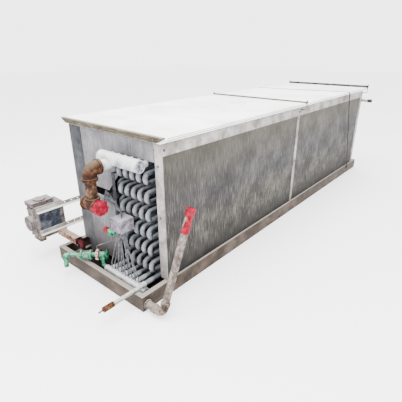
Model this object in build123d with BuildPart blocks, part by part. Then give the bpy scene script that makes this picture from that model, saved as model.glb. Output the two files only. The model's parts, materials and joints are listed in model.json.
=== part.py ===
"""A long coil-type milk-cooling tank: a galvanised cabinet over a shallow sump pan, with a bank of
serpentine refrigerant coils, their headers and valves at the open front end, a circulating pump beside
it, two lids and a swing drain pipe.

Millimetres. +Z is up, +Y runs from the piping end to the back, +X is the right-hand side seen from the
piping end. The origin is the centre of the pan's underside.
"""

import os
from math import cos, radians, sin

from build123d import *

os.makedirs("parts", exist_ok=True)

# ---------------------------------------------------------------- driving dimensions
CABINET_WIDTH = 1200
CABINET_LENGTH = 4420
CABINET_TOP = 1290
BASE_WIDTH = CABINET_WIDTH + 32
FRONT_BAY = 290  # open pan in front of the cabinet
REAR_MARGIN = 160  # pan behind the cabinet
BASE_HEIGHT = 135
FLOOR_THICKNESS = 4
CHANNEL_WALL = 6
CHANNEL_FLANGE = 45

POST_LEG = 75
FRONT_SIDE_LEG = 14  # the front posts' narrow leg, along the side
FRAME_WALL = 6
RAIL_HEIGHT = 90
RAIL_LEDGE = 50
END_RAIL_HEIGHT = 40
MID_POST_WIDTH = 50
MID_POST_AT = 2190  # from the cabinet's front
PANEL_DEPTH = 16
PANEL_SHEET = 2
FIT_GAP = 2  # sheet metal clearance

LID_THICKNESS = 55
LID_OVERHANG = 60
LID_EDGE = 12
LID_FRONT_OVERHANG = 5
LID_REAR_OVERHANG = 35
BATTEN_DEPTH = 34
LID_SEAM = 4

TUBE_RADIUS = 21.2
TUBE_WALL = 2.6
TUBE_PITCH = 80
COLUMN_COUNT = 6
ROW_COUNT = 14
RIGHT_COLUMN_X = 430
BOTTOM_ROW_Z = 79
FRONT_BEND_SET_BACK = 22  # the bends stand out of the open front
COVERED_BEND_SET_BACK = 72  # the last column's bends stay behind the front sheet
REAR_BEND_SET_BACK = 130
TUBE_CLEARANCE = 0.5

base_length = FRONT_BAY + CABINET_LENGTH + REAR_MARGIN
base_front = -base_length / 2
base_rear = base_length / 2
front = base_front + FRONT_BAY  # the cabinet's front plane
rear = base_rear - REAR_MARGIN
mid = front + MID_POST_AT
side = CABINET_WIDTH / 2
base_side = BASE_WIDTH / 2
channel_inside = base_side - CHANNEL_WALL
flange_tip = base_side - CHANNEL_FLANGE
column_x = [RIGHT_COLUMN_X - TUBE_PITCH * k for k in range(COLUMN_COUNT)]
row_z = [BOTTOM_ROW_Z + TUBE_PITCH * j for j in range(ROW_COUNT)]


# ---------------------------------------------------------------- shared shapes
def block(x_span, y_span, z_span, mode=Mode.ADD):
    """A rectangular block between two corners, in the part being built."""
    centre = tuple(sum(span) / 2 for span in (x_span, y_span, z_span))
    with Locations(centre):
        Box(*(abs(span[1] - span[0]) for span in (x_span, y_span, z_span)), mode=mode)


def rod(start, end, radius, mode=Mode.ADD):
    """A round bar from one point to another, in the part being built."""
    way = Vector(*end) - Vector(*start)
    with BuildSketch(Plane(origin=start, z_dir=way), mode=Mode.PRIVATE) as section:
        Circle(radius)
    extrude(section.sketch, amount=way.length, mode=mode)


def pipe(start, end, radius, wall):
    """A round tube, open at both ends."""
    rod(start, end, radius)
    rod(start, end, radius - wall, mode=Mode.SUBTRACT)


def bent_tube(points, radii, radius, wall=0):
    """A tube along straight runs joined by tangent arcs. wall 0 makes it solid."""
    with BuildPart() as made:
        with BuildLine() as route:
            if len(points) > 2:
                FilletPolyline(*points, radius=radii)
            else:
                Line(*points)
        with BuildSketch(Plane(origin=points[0], z_dir=Vector(*points[1]) - Vector(*points[0]))):
            Circle(radius)
            if wall:
                Circle(radius - wall, mode=Mode.SUBTRACT)
        sweep(path=route.line)
    return made.part


def save(shape, label):
    """Labels a finished piece and writes it as parts/LABEL.step."""
    shape.label = label
    export_step(shape, f"parts/{label}.step")


def group(solids, label):
    """Separate pieces of one kind, written as one node."""
    save(Compound(label=label, children=list(solids)), label)


# ---------------------------------------------------------------- swing drain at the front right corner
DRAIN_PIPE_RADIUS = 30.15
DRAIN_WALL = 4
DRAIN_AT = 50  # behind the pan's front edge
DRAIN_Z = 54
DRAIN_ELBOW_RADIUS = 38
DRAIN_ELBOW_REACH = 174  # from the pan's side to the standing pipe
DRAIN_BEND = 50
DRAIN_LEAN = 24  # degrees from upright, towards the back
DRAIN_PIPE_LENGTH = 770
RUNNING_CLEARANCE = 0.08
NIPPLE_INSIDE = 55
NIPPLE_OUTSIDE = 112

drain_y = base_front + DRAIN_AT
drain_x = base_side + DRAIN_ELBOW_REACH
drain_way = Vector(0, sin(radians(DRAIN_LEAN)), cos(radians(DRAIN_LEAN)))
drain_corner = Vector(drain_x, drain_y, DRAIN_Z)

# ---------------------------------------------------------------- purge pipe over the front rim
PURGE_X = 503
PURGE_Z = 142
PURGE_RADIUS = 16.85
PURGE_WALL = 3
PURGE_REACH = 215  # beyond the pan's front edge
PURGE_NOTCH = 46

# ---------------------------------------------------------------- base: floor plate and four channels
with BuildPart() as pan_floor:
    block((-base_side, base_side), (base_front, base_rear), (0, FLOOR_THICKNESS))
save(pan_floor.part, "pan_floor")


def side_channel(sign):
    """A side channel of the base, web outwards. Its flanges stop short of the end channels' webs."""
    with BuildPart() as made:
        block((sign * channel_inside, sign * base_side), (base_front, base_rear), (FLOOR_THICKNESS, BASE_HEIGHT))
        for low in (FLOOR_THICKNESS, BASE_HEIGHT - CHANNEL_WALL):
            block(
                (sign * flange_tip, sign * channel_inside),
                (base_front + CHANNEL_WALL, base_rear - CHANNEL_WALL),
                (low, low + CHANNEL_WALL),
            )
        if sign > 0:
            rod(
                (flange_tip, drain_y, DRAIN_Z),
                (base_side + 1, drain_y, DRAIN_Z),
                DRAIN_PIPE_RADIUS + TUBE_CLEARANCE,
                mode=Mode.SUBTRACT,
            )
    return made.part



def end_channel(outer, inner):
    """An end channel of the base, between the side channels. outer and inner are its web's two faces."""
    way = 1 if inner > outer else -1
    with BuildPart() as made:
        block((-channel_inside, channel_inside), (outer, inner), (FLOOR_THICKNESS, BASE_HEIGHT))
        for low in (FLOOR_THICKNESS, BASE_HEIGHT - CHANNEL_WALL):
            block(
                (-flange_tip, flange_tip),
                (inner, outer + way * CHANNEL_FLANGE),
                (low, low + CHANNEL_WALL),
            )
        if way > 0:
            block(
                (PURGE_X - PURGE_NOTCH / 2, PURGE_X + PURGE_NOTCH / 2),
                (outer - 1, outer + CHANNEL_FLANGE + 1),
                (PURGE_Z - PURGE_RADIUS - 3, BASE_HEIGHT + 1),
                mode=Mode.SUBTRACT,
            )
    return made.part


group(
    [
        side_channel(1),
        side_channel(-1),
        end_channel(base_front, base_front + CHANNEL_WALL),
        end_channel(base_rear, base_rear - CHANNEL_WALL),
    ],
    "base_channels",
)

# ---------------------------------------------------------------- coil supports and their bearers
SUPPORT_PLATE = 6
SUPPORT_MARGIN = 42
BEARER_HEIGHT = 36
BEARER_WIDTH = 60
SUPPORT_TOP = 1160
support_at = [front + 150 + k * (CABINET_LENGTH - 430) / 3 for k in range(4)]
coil_left = column_x[-1] - SUPPORT_MARGIN
coil_right = column_x[0] + SUPPORT_MARGIN
bearer_top = FLOOR_THICKNESS + BEARER_HEIGHT

bearers = []
for at in support_at:
    with BuildPart() as bearer:
        block((-flange_tip + 4, flange_tip - 4), (at - BEARER_WIDTH / 2, at + BEARER_WIDTH / 2),
              (FLOOR_THICKNESS, bearer_top))
        block((-flange_tip + 3, flange_tip - 3), (at - BEARER_WIDTH / 2 + 5, at + BEARER_WIDTH / 2 - 5),
              (FLOOR_THICKNESS - 1, bearer_top - 5), mode=Mode.SUBTRACT)
    bearers.append(bearer.part)
with BuildPart() as support:
    with BuildSketch(Plane.XZ):
        with Locations(((coil_left + coil_right) / 2, (bearer_top + SUPPORT_TOP) / 2)):
            Rectangle(coil_right - coil_left, SUPPORT_TOP - bearer_top)
        with Locations(((column_x[0] + column_x[-1]) / 2, (row_z[0] + row_z[-1]) / 2)):
            with GridLocations(TUBE_PITCH, TUBE_PITCH, COLUMN_COUNT, ROW_COUNT):
                Circle(TUBE_RADIUS + TUBE_CLEARANCE, mode=Mode.SUBTRACT)
    extrude(amount=SUPPORT_PLATE / 2, both=True)
group([*bearers, *(support.part.moved(Location((0, at, 0))) for at in support_at)], "coil_supports")

# ---------------------------------------------------------------- headers
SUCTION_RADIUS = 50.8
SUCTION_WALL = 5
SUCTION_AHEAD = 85  # the header's axis, in front of the cabinet
NOZZLE_WALL = 4
HEADER_END = 46  # past the last column
SUCTION_END = 28  # past the first column
LIQUID_RADIUS = 30.15
LIQUID_WALL = 4
LIQUID_AHEAD = 165
LIQUID_END = 85
COIL_END_INSIDE = 18  # how far a coil's end goes into its nozzle
NOZZLE_LENGTH = 30
LINE_RADIUS = 16.85  # the liquid line's pipe
LINE_WALL = 3.4

suction_y = front - SUCTION_AHEAD
suction_z = row_z[-1]
liquid_y = front - LIQUID_AHEAD
liquid_z = row_z[0]
suction_nozzle_mouth = suction_y + SUCTION_RADIUS + NOZZLE_LENGTH
liquid_nozzle_mouth = liquid_y + LIQUID_RADIUS + NOZZLE_LENGTH
suction_tube_end = suction_nozzle_mouth - COIL_END_INSIDE
liquid_tube_end = liquid_nozzle_mouth - COIL_END_INSIDE
header_left = column_x[-1] - HEADER_END

SOCKET_CLEARANCE = 0.3

ELBOW_X = 100
ELBOW_RADIUS = 55
ELBOW_BEND = 70
ELBOW_COLLAR = 62
ELBOW_COLLAR_LENGTH = 24
RISER_RADIUS = 44.45
RISER_WALL = 5
SOCKET_DEPTH = 22
BRANCH_LENGTH = 80
BRANCH_DROP = 40  # the branch's axis under the header's
branch_z = suction_z - BRANCH_DROP
elbow_inlet = suction_y - SUCTION_RADIUS - BRANCH_LENGTH + SOCKET_DEPTH
riser_y = elbow_inlet - ELBOW_BEND - ELBOW_COLLAR_LENGTH

FEED_RADIUS = 5
FEED_COUNT = 9
FEED_PITCH = 45
FEED_FIRST_X = 72
FEED_BOSS_RADIUS = 9
FEED_BOSS_HEIGHT = 14
feed_x = [FEED_FIRST_X + FEED_PITCH * k for k in range(FEED_COUNT)]
feed_boss_top = liquid_z + LIQUID_RADIUS + FEED_BOSS_HEIGHT


def header(ends, y, z, radius, wall, mouth):
    """A header pipe with capped ends and one socket nozzle for each coil column, in the part being built."""
    rod((ends[0], y, z), (ends[1], y, z), radius)
    for x in column_x:
        rod((x, y, z), (x, mouth, z), TUBE_RADIUS + NOZZLE_WALL)
    rod((ends[0] + wall, y, z), (ends[1] - wall, y, z), radius - wall, mode=Mode.SUBTRACT)
    for x in column_x:
        rod((x, y, z), (x, mouth + 1, z), TUBE_RADIUS + TUBE_CLEARANCE, mode=Mode.SUBTRACT)


with BuildPart() as suction_header:
    header(
        (header_left, column_x[0] + SUCTION_END),
        suction_y, suction_z, SUCTION_RADIUS, SUCTION_WALL, suction_nozzle_mouth,
    )
    branch_tip = suction_y - SUCTION_RADIUS - BRANCH_LENGTH
    rod((ELBOW_X, suction_y - 10, branch_z), (ELBOW_X, branch_tip, branch_z), RISER_RADIUS)
    rod((ELBOW_X, suction_y - 10 - RISER_WALL, branch_z), (ELBOW_X, branch_tip - 1, branch_z),
        RISER_RADIUS - RISER_WALL, mode=Mode.SUBTRACT)
save(suction_header.part, "suction_header")

with BuildPart() as liquid_header:
    header(
        (header_left, column_x[0] + LIQUID_END),
        liquid_y, liquid_z, LIQUID_RADIUS, LIQUID_WALL, liquid_nozzle_mouth,
    )
    for x in feed_x:
        rod((x, liquid_y, liquid_z + LIQUID_RADIUS - 2), (x, liquid_y, feed_boss_top), FEED_BOSS_RADIUS)
        rod((x, liquid_y, feed_boss_top - 8), (x, liquid_y, feed_boss_top + 1), FEED_RADIUS + 0.2,
            mode=Mode.SUBTRACT)
    rod((header_left - 1, liquid_y, liquid_z), (header_left + LIQUID_WALL + 5, liquid_y, liquid_z),
        LINE_RADIUS + SOCKET_CLEARANCE, mode=Mode.SUBTRACT)
    rod((PURGE_X, liquid_y, liquid_z + 20), (PURGE_X, liquid_y, liquid_z + LIQUID_RADIUS + 1),
        PURGE_RADIUS + SOCKET_CLEARANCE, mode=Mode.SUBTRACT)
save(liquid_header.part, "liquid_header")


# ---------------------------------------------------------------- coil bank
def coil_column(set_back):
    """One serpentine of steel tube in the plane X = 0, from the liquid header up to the suction header."""
    near = front + set_back
    far = rear - REAR_BEND_SET_BACK
    bend = TUBE_PITCH / 2
    with BuildPart() as made:
        with BuildLine() as route:
            for j, z in enumerate(row_z):
                if j == 0:
                    Line((0, liquid_tube_end, z), (0, far, z))
                elif j == ROW_COUNT - 1:
                    Line((0, far, z), (0, suction_tube_end, z))
                elif j % 2:
                    Line((0, far, z), (0, near, z))
                else:
                    Line((0, near, z), (0, far, z))
                if j < ROW_COUNT - 1:
                    at, bulge = (far, bend) if j % 2 == 0 else (near, -bend)
                    ThreePointArc((0, at, z), (0, at + bulge, z + bend), (0, at, z + TUBE_PITCH))
        with BuildSketch(Plane(origin=(0, liquid_tube_end, row_z[0]), z_dir=(0, 1, 0))):
            Circle(TUBE_RADIUS)
            Circle(TUBE_RADIUS - TUBE_WALL, mode=Mode.SUBTRACT)
        sweep(path=route.line)
    return made.part


column = coil_column(FRONT_BEND_SET_BACK)
covered_column = coil_column(COVERED_BEND_SET_BACK).moved(Location((column_x[-1], 0, 0)))
group([*(column.moved(Location((x, 0, 0))) for x in column_x[:-1]), covered_column], "coil_bank")

# ---------------------------------------------------------------- baffle between the coils and the open water way
BAFFLE_X = coil_left - 30
BAFFLE_SHEET = 3
with BuildPart() as baffle:
    block((BAFFLE_X, BAFFLE_X + BAFFLE_SHEET), (front + 60, rear - 60), (bearer_top, SUPPORT_TOP))
save(baffle.part, "water_baffle")

# ---------------------------------------------------------------- cabinet frame
post_top = CABINET_TOP - RAIL_HEIGHT
ledge_under = CABINET_TOP - FRAME_WALL
end_rail_under = CABINET_TOP - END_RAIL_HEIGHT


def corner_post(sign, outer, inner_way):
    """An angle post on the base flange. outer is its end face in Y, inner_way points into the cabinet."""
    leg_face = sign * (side - FRAME_WALL)
    with BuildPart() as made:
        side_leg = FRONT_SIDE_LEG if inner_way > 0 else POST_LEG
        block((leg_face, sign * side), (outer, outer + inner_way * side_leg), (BASE_HEIGHT, post_top))
        block(
            (sign * (side - POST_LEG), leg_face),
            (outer, outer + inner_way * FRAME_WALL),
            (BASE_HEIGHT, end_rail_under),
        )
    return made.part


posts = [corner_post(sign, end, way) for sign in (1, -1) for end, way in ((front, 1), (rear, -1))]
for sign in (1, -1):
    with BuildPart() as post:
        block(
            (sign * (side - FRAME_WALL), sign * side),
            (mid - MID_POST_WIDTH / 2, mid + MID_POST_WIDTH / 2),
            (BASE_HEIGHT, post_top),
        )
    posts.append(post.part)
group(posts, "frame_posts")

# ---------------------------------------------------------------- hold-down bars, their hook bolts and rail holes
BAR_OVERHANG = 14  # past the lid's edge
BAR_WIDTH = 40
SEAM_BAR_HEIGHT = 14
REAR_BAR_SIZE = 30
REAR_BAR_INSET = 20
HOOK_RADIUS = 5
HOOK_HOLE_CLEARANCE = 0.1
HOOK_DROP = 22  # the hook's axis under the cabinet's top edge
HOOK_ABOVE_BAR = 18
NUT_RADIUS = 10
NUT_HEIGHT = 9

lid_edge = side + LID_OVERHANG
lid_top = CABINET_TOP + LID_THICKNESS
hook_x = lid_edge + 8
hook_z = CABINET_TOP - HOOK_DROP
seam_bar_y = mid + LID_SEAM / 2 + BAR_WIDTH / 2 + 4
rear_bar_y = rear - REAR_BAR_INSET
bar_levels = {seam_bar_y: SEAM_BAR_HEIGHT, rear_bar_y: REAR_BAR_SIZE}

rails = []
for sign in (1, -1):
    with BuildPart() as rail:
        block((sign * (side - FRAME_WALL), sign * side), (front, rear), (post_top, CABINET_TOP))
        block(
            (sign * (side - RAIL_LEDGE), sign * (side - FRAME_WALL)),
            (front + FRAME_WALL, rear - FRAME_WALL),
            (ledge_under, CABINET_TOP),
        )
        for y in bar_levels:
            rod(
                (sign * (side - FRAME_WALL - 1), y, hook_z),
                (sign * (side + 1), y, hook_z),
                HOOK_RADIUS + HOOK_HOLE_CLEARANCE,
                mode=Mode.SUBTRACT,
            )
    rails.append(rail.part)
for outer, way in ((front, 1), (rear, -1)):
    with BuildPart() as rail:
        block(
            (FRAME_WALL - side, side - FRAME_WALL),
            (outer, outer + way * FRAME_WALL),
            (end_rail_under, CABINET_TOP),
        )
        block(
            (RAIL_LEDGE - side, side - RAIL_LEDGE),
            (outer + way * FRAME_WALL, outer + way * RAIL_LEDGE),
            (ledge_under, CABINET_TOP),
        )
    rails.append(rail.part)
group(rails, "top_rails")


# ---------------------------------------------------------------- side, rear and front sheets
def side_panel(sign, start, end):
    """A galvanised sheet inside the frame, with its front and back edges turned in."""
    face = sign * (side - FRAME_WALL)
    inner = sign * (side - FRAME_WALL - PANEL_SHEET)
    turned = sign * (side - FRAME_WALL - PANEL_DEPTH)
    with BuildPart() as made:
        block((face, inner), (start, end), (BASE_HEIGHT, ledge_under))
        for low in (start, end - PANEL_SHEET):
            block((inner, turned), (low, low + PANEL_SHEET), (BASE_HEIGHT, ledge_under))
    return made.part


panel_spans = (
    (front + FRAME_WALL + FIT_GAP, mid - FIT_GAP),
    (mid + FIT_GAP, rear - FRAME_WALL - FIT_GAP),
)
for sign, hand in ((1, "right"), (-1, "left")):
    group([side_panel(sign, *span) for span in panel_spans], f"side_panels_{hand}")

with BuildPart() as rear_panel:
    rear_inset = flange_tip - 3
    block(
        (-rear_inset, rear_inset),
        (rear - FRAME_WALL - PANEL_SHEET, rear - FRAME_WALL),
        (FLOOR_THICKNESS, ledge_under),
    )
save(rear_panel.part, "rear_panel")

FRONT_SHEET_LEFT = -420
FRONT_SHEET_RIGHT = 522
UPPER_PLATE_RIGHT = 84
UPPER_PLATE_UNDER = 770
TOP_BAND_UNDER = 1145
CORNER_CUT_Z = 960  # the upper plate's lower right corner is cut off from here down
CORNER_CUT_X = -87
LOWER_PLATE_RIGHT = 5
LOWER_PLATE_UNDER = 60
LOWER_PLATE_TOP = 700
sheet_back = front
sheet_face = front - PANEL_SHEET

with BuildPart() as front_panel_upper:
    block((FRONT_SHEET_LEFT, FRONT_SHEET_RIGHT), (sheet_face, sheet_back), (TOP_BAND_UNDER, CABINET_TOP))
    with BuildSketch(Plane.XZ.offset(-sheet_back)):
        with BuildLine():
            Polyline(
                (FRONT_SHEET_LEFT, TOP_BAND_UNDER),
                (FRONT_SHEET_LEFT, UPPER_PLATE_UNDER),
                (CORNER_CUT_X, UPPER_PLATE_UNDER),
                (UPPER_PLATE_RIGHT, CORNER_CUT_Z),
                (UPPER_PLATE_RIGHT, TOP_BAND_UNDER),
                close=True,
            )
        make_face()
    extrude(amount=PANEL_SHEET)
    rod((column_x[-1], sheet_face - 1, suction_z), (column_x[-1], sheet_back + 1, suction_z),
        TUBE_RADIUS + TUBE_CLEARANCE, mode=Mode.SUBTRACT)
save(front_panel_upper.part, "front_panel_upper")

# a dark strip covers the left post and runs on behind the sheets to carry the lower one
STRIP_THICKNESS = 4
STRIP_LAP = 33  # how far it runs on behind the sheets
with BuildPart() as front_strip:
    block(
        (POST_LEG - side, FRONT_SHEET_LEFT + STRIP_LAP),
        (sheet_back, sheet_back + STRIP_THICKNESS),
        (FLOOR_THICKNESS, end_rail_under),
    )
    block((-side, FRONT_SHEET_LEFT - 1), (sheet_back - STRIP_THICKNESS, sheet_back), (BASE_HEIGHT, CABINET_TOP))
save(front_strip.part, "front_strip")

with BuildPart() as front_panel_lower:
    block(
        (FRONT_SHEET_LEFT, LOWER_PLATE_RIGHT),
        (sheet_face, sheet_back),
        (LOWER_PLATE_UNDER, LOWER_PLATE_TOP),
    )
save(front_panel_lower.part, "front_panel_lower")

# ---------------------------------------------------------------- lids
LID_SHEET = 3
LID_BODY_HEIGHT = LID_THICKNESS - 20


def lid(start, end):
    """A lid with a thin overhanging top over a deeper body that sits on the rails, hollow underneath."""
    body_top = CABINET_TOP + LID_BODY_HEIGHT
    with BuildPart() as made:
        block((-lid_edge, lid_edge), (start, end), (body_top, lid_top))
        body_start = max(start, front)
        body_end = min(end, rear)
        block((-side, side), (body_start, body_end), (CABINET_TOP, body_top))
        block(
            (RAIL_LEDGE - side, side - RAIL_LEDGE),
            (body_start + RAIL_LEDGE, body_end - RAIL_LEDGE),
            (CABINET_TOP - 1, lid_top - LID_SHEET),
            mode=Mode.SUBTRACT,
        )
    return made.part


save(lid(front - LID_FRONT_OVERHANG, mid - LID_SEAM / 2), "front_lid")
save(lid(mid + LID_SEAM / 2, rear + LID_REAR_OVERHANG), "rear_lid")

BATTEN_TOP_HALF = 655
BATTEN_LOW_HALF = 590
BATTEN_UNDER = 1306
BATTEN_TOP = lid_top + 6
batten_back = front - LID_FRONT_OVERHANG
with BuildPart() as front_lid_lip:
    with BuildSketch(Plane.XZ.offset(-batten_back)):
        with BuildLine():
            Polyline(
                (-BATTEN_LOW_HALF, BATTEN_UNDER),
                (BATTEN_LOW_HALF, BATTEN_UNDER),
                (BATTEN_TOP_HALF, BATTEN_TOP - 8),
                (BATTEN_TOP_HALF, BATTEN_TOP),
                (-BATTEN_TOP_HALF, BATTEN_TOP),
                (-BATTEN_TOP_HALF, BATTEN_TOP - 8),
                close=True,
            )
        make_face()
    extrude(amount=BATTEN_DEPTH)
save(front_lid_lip.part, "front_lid_lip")

bar_end = lid_edge + BAR_OVERHANG
with BuildPart() as seam_bar:
    block((-bar_end, bar_end), (seam_bar_y - BAR_WIDTH / 2, seam_bar_y + BAR_WIDTH / 2),
          (lid_top, lid_top + SEAM_BAR_HEIGHT))
    block((-lid_edge + 20, lid_edge - 20), (seam_bar_y - 6, seam_bar_y + 6),
          (lid_top + SEAM_BAR_HEIGHT - 5, lid_top + SEAM_BAR_HEIGHT + 1), mode=Mode.SUBTRACT)
    for x in (-hook_x, hook_x):
        rod((x, seam_bar_y, lid_top - 1), (x, seam_bar_y, lid_top + SEAM_BAR_HEIGHT + 1), HOOK_RADIUS + 0.4,
            mode=Mode.SUBTRACT)
save(seam_bar.part, "seam_bar")

REAR_BAR_WALL = 3
with BuildPart() as rear_bar:
    half = REAR_BAR_SIZE / 2
    block((-bar_end, bar_end), (rear_bar_y - half, rear_bar_y + half), (lid_top, lid_top + REAR_BAR_SIZE))
    block((-bar_end - 1, bar_end + 1), (rear_bar_y - half + REAR_BAR_WALL, rear_bar_y + half - REAR_BAR_WALL),
          (lid_top + REAR_BAR_WALL, lid_top + REAR_BAR_SIZE - REAR_BAR_WALL), mode=Mode.SUBTRACT)
    for x in (-hook_x, hook_x):
        rod((x, rear_bar_y, lid_top - 1), (x, rear_bar_y, lid_top + REAR_BAR_SIZE + 1), HOOK_RADIUS + 0.4,
            mode=Mode.SUBTRACT)
save(rear_bar.part, "rear_bar")

hook_bolts = []
for y, height in bar_levels.items():
    for sign in (1, -1):
        top = lid_top + height
        bolt = bent_tube(
            [(sign * hook_x, y, top + HOOK_ABOVE_BAR), (sign * hook_x, y, hook_z),
             (sign * (side - FRAME_WALL), y, hook_z)],
            [14], HOOK_RADIUS,
        )
        with BuildPart() as made:
            add(bolt)
            rod((sign * hook_x, y, top), (sign * hook_x, y, top + NUT_HEIGHT), NUT_RADIUS)
        hook_bolts.append(made.part)
group(hook_bolts, "hook_bolts")

# ---------------------------------------------------------------- pipe across the back wall
REAR_PIPE_RADIUS = 21.2
REAR_PIPE_Z = 1138
REAR_PIPE_BEHIND = 76
REAR_PIPE_LEFT = 10 - side
REAR_PIPE_RIGHT = side + 136
REAR_CAP_LENGTH = 60
BRACKET_WIDTH = 30
rear_pipe_y = rear + REAR_PIPE_BEHIND
with BuildPart() as rear_pipe:
    pipe((REAR_PIPE_LEFT, rear_pipe_y, REAR_PIPE_Z), (REAR_PIPE_RIGHT - 12, rear_pipe_y, REAR_PIPE_Z),
         REAR_PIPE_RADIUS, 3)

with BuildPart() as rear_pipe_cap:
    rod((REAR_PIPE_RIGHT - REAR_CAP_LENGTH, rear_pipe_y, REAR_PIPE_Z), (REAR_PIPE_RIGHT, rear_pipe_y, REAR_PIPE_Z),
        REAR_PIPE_RADIUS + 5)
    rod((REAR_PIPE_RIGHT - REAR_CAP_LENGTH - 1, rear_pipe_y, REAR_PIPE_Z),
        (REAR_PIPE_RIGHT - 11, rear_pipe_y, REAR_PIPE_Z), REAR_PIPE_RADIUS + 0.3, mode=Mode.SUBTRACT)
save(rear_pipe_cap.part, "rear_pipe_cap")

brackets = []
for x in (POST_LEG / 2 - side, side - POST_LEG / 2):
    with BuildPart() as bracket:
        block((x - BRACKET_WIDTH / 2, x + BRACKET_WIDTH / 2),
              (rear, rear_pipe_y + REAR_PIPE_RADIUS + 8),
              (REAR_PIPE_Z - REAR_PIPE_RADIUS - 8, REAR_PIPE_Z + REAR_PIPE_RADIUS + 8))
        block((x - BRACKET_WIDTH / 2 - 1, x + BRACKET_WIDTH / 2 + 1),
              (rear + 6, rear_pipe_y - REAR_PIPE_RADIUS - 8),
              (REAR_PIPE_Z - REAR_PIPE_RADIUS - 2, REAR_PIPE_Z + REAR_PIPE_RADIUS + 9), mode=Mode.SUBTRACT)
        rod((x - BRACKET_WIDTH, rear_pipe_y, REAR_PIPE_Z), (x + BRACKET_WIDTH, rear_pipe_y, REAR_PIPE_Z),
            REAR_PIPE_RADIUS + 0.3, mode=Mode.SUBTRACT)
    brackets.append(bracket.part)
group([rear_pipe.part, *brackets], "rear_water_pipe")

# ---------------------------------------------------------------- strap over the rear lid
STRAP_WIDTH = 32
STRAP_THICKNESS = 3
STRAP_TOP_LEFT_Y = 3350  # from the cabinet's front
STRAP_TOP_RIGHT_Y = 3600
STRAP_LOW_Y = 4175
STRAP_GAP = 0.3
ANCHOR_Z = 74
ANCHOR_SIZE = 44
ANCHOR_PLATE = 4
anchor_face = base_side + ANCHOR_PLATE
STRAP_EDGE = 5  # how far the strap stands out of the lid's edge
strap_top_z = lid_top + STRAP_GAP + STRAP_THICKNESS / 2
strap_out = lid_edge + STRAP_EDGE
strap_anchor_out = anchor_face + STRAP_GAP + STRAP_THICKNESS / 2
strap_route = [
    (-strap_anchor_out, front + STRAP_LOW_Y, ANCHOR_Z),
    (-strap_out, front + STRAP_TOP_LEFT_Y, strap_top_z),
    (strap_out, front + STRAP_TOP_RIGHT_Y, strap_top_z),
    (strap_anchor_out, front + STRAP_LOW_Y, ANCHOR_Z),
]


def strap_run(start, end, face):
    """A flat length of webbing from start to end, its broad side facing the direction face."""
    way = Vector(*end) - Vector(*start)
    across = way.cross(Vector(*face))
    with BuildPart() as made:
        with BuildSketch(Plane(origin=start, x_dir=across, z_dir=way)):
            Rectangle(STRAP_WIDTH, STRAP_THICKNESS)
        extrude(amount=way.length)
    return made.part


with BuildPart() as strap:
    faces = ((-1, 0, 0), (0, 0, 1), (1, 0, 0))
    for start, end, face in zip(strap_route, strap_route[1:], faces):
        add(strap_run(start, end, face))
    for x, y in ((-strap_out, STRAP_TOP_LEFT_Y), (strap_out, STRAP_TOP_RIGHT_Y)):
        with Locations((x, front + y, strap_top_z)):
            Cylinder(STRAP_THICKNESS * 0.6, STRAP_WIDTH, rotation=(90, 0, 0))
save(strap.part, "lid_strap")

strap_fittings = []
for sign in (1, -1):
    with BuildPart() as anchor:
        y = front + STRAP_LOW_Y
        block((sign * base_side, sign * anchor_face), (y - ANCHOR_SIZE / 2, y + ANCHOR_SIZE / 2),
              (ANCHOR_Z - ANCHOR_SIZE / 2, ANCHOR_Z + ANCHOR_SIZE / 2))
    strap_fittings.append(anchor.part)
group(strap_fittings, "strap_anchors")

# ---------------------------------------------------------------- suction elbow, riser, tee and its red cover
TEE_Z = 780
TEE_RADIUS = 52
TEE_COLLAR = 60
TEE_HALF = 62  # from the riser to the tee's right end
TEE_LEFT_REACH = 100  # and to its plugged left end
TEE_TOP = 66
STUB_DEPTH = 16
PLUG_LENGTH = 30
PLUG_TIP_RADIUS = 24
COVER_RADIUS = 65
COVER_LENGTH = 62
COVER_WALL = 6
suction_pipe_bore = RISER_RADIUS + SOCKET_CLEARANCE
elbow_bottom = branch_z - ELBOW_BEND - ELBOW_COLLAR_LENGTH
with BuildPart() as suction_elbow:
    add(bent_tube(
        [(ELBOW_X, elbow_inlet, branch_z), (ELBOW_X, riser_y, branch_z), (ELBOW_X, riser_y, elbow_bottom)],
        [ELBOW_BEND - 1], ELBOW_RADIUS,
    ))
    rod((ELBOW_X, elbow_inlet, branch_z), (ELBOW_X, elbow_inlet - ELBOW_COLLAR_LENGTH, branch_z), ELBOW_COLLAR)
    rod((ELBOW_X, riser_y, elbow_bottom), (ELBOW_X, riser_y, elbow_bottom + ELBOW_COLLAR_LENGTH), ELBOW_COLLAR)
    add(bent_tube(
        [(ELBOW_X, elbow_inlet, branch_z), (ELBOW_X, riser_y, branch_z), (ELBOW_X, riser_y, elbow_bottom)],
        [ELBOW_BEND - 1], RISER_RADIUS - RISER_WALL,
    ), mode=Mode.SUBTRACT)
    rod((ELBOW_X, elbow_inlet + 1, branch_z), (ELBOW_X, elbow_inlet - SOCKET_DEPTH, branch_z),
        suction_pipe_bore, mode=Mode.SUBTRACT)
    rod((ELBOW_X, riser_y, elbow_bottom - 1), (ELBOW_X, riser_y, elbow_bottom + SOCKET_DEPTH),
        suction_pipe_bore, mode=Mode.SUBTRACT)
save(suction_elbow.part, "suction_elbow")

tee_top = TEE_Z + TEE_TOP
with BuildPart() as suction_riser:
    pipe((ELBOW_X, riser_y, tee_top - SOCKET_DEPTH), (ELBOW_X, riser_y, elbow_bottom + SOCKET_DEPTH),
         RISER_RADIUS, RISER_WALL)

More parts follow.
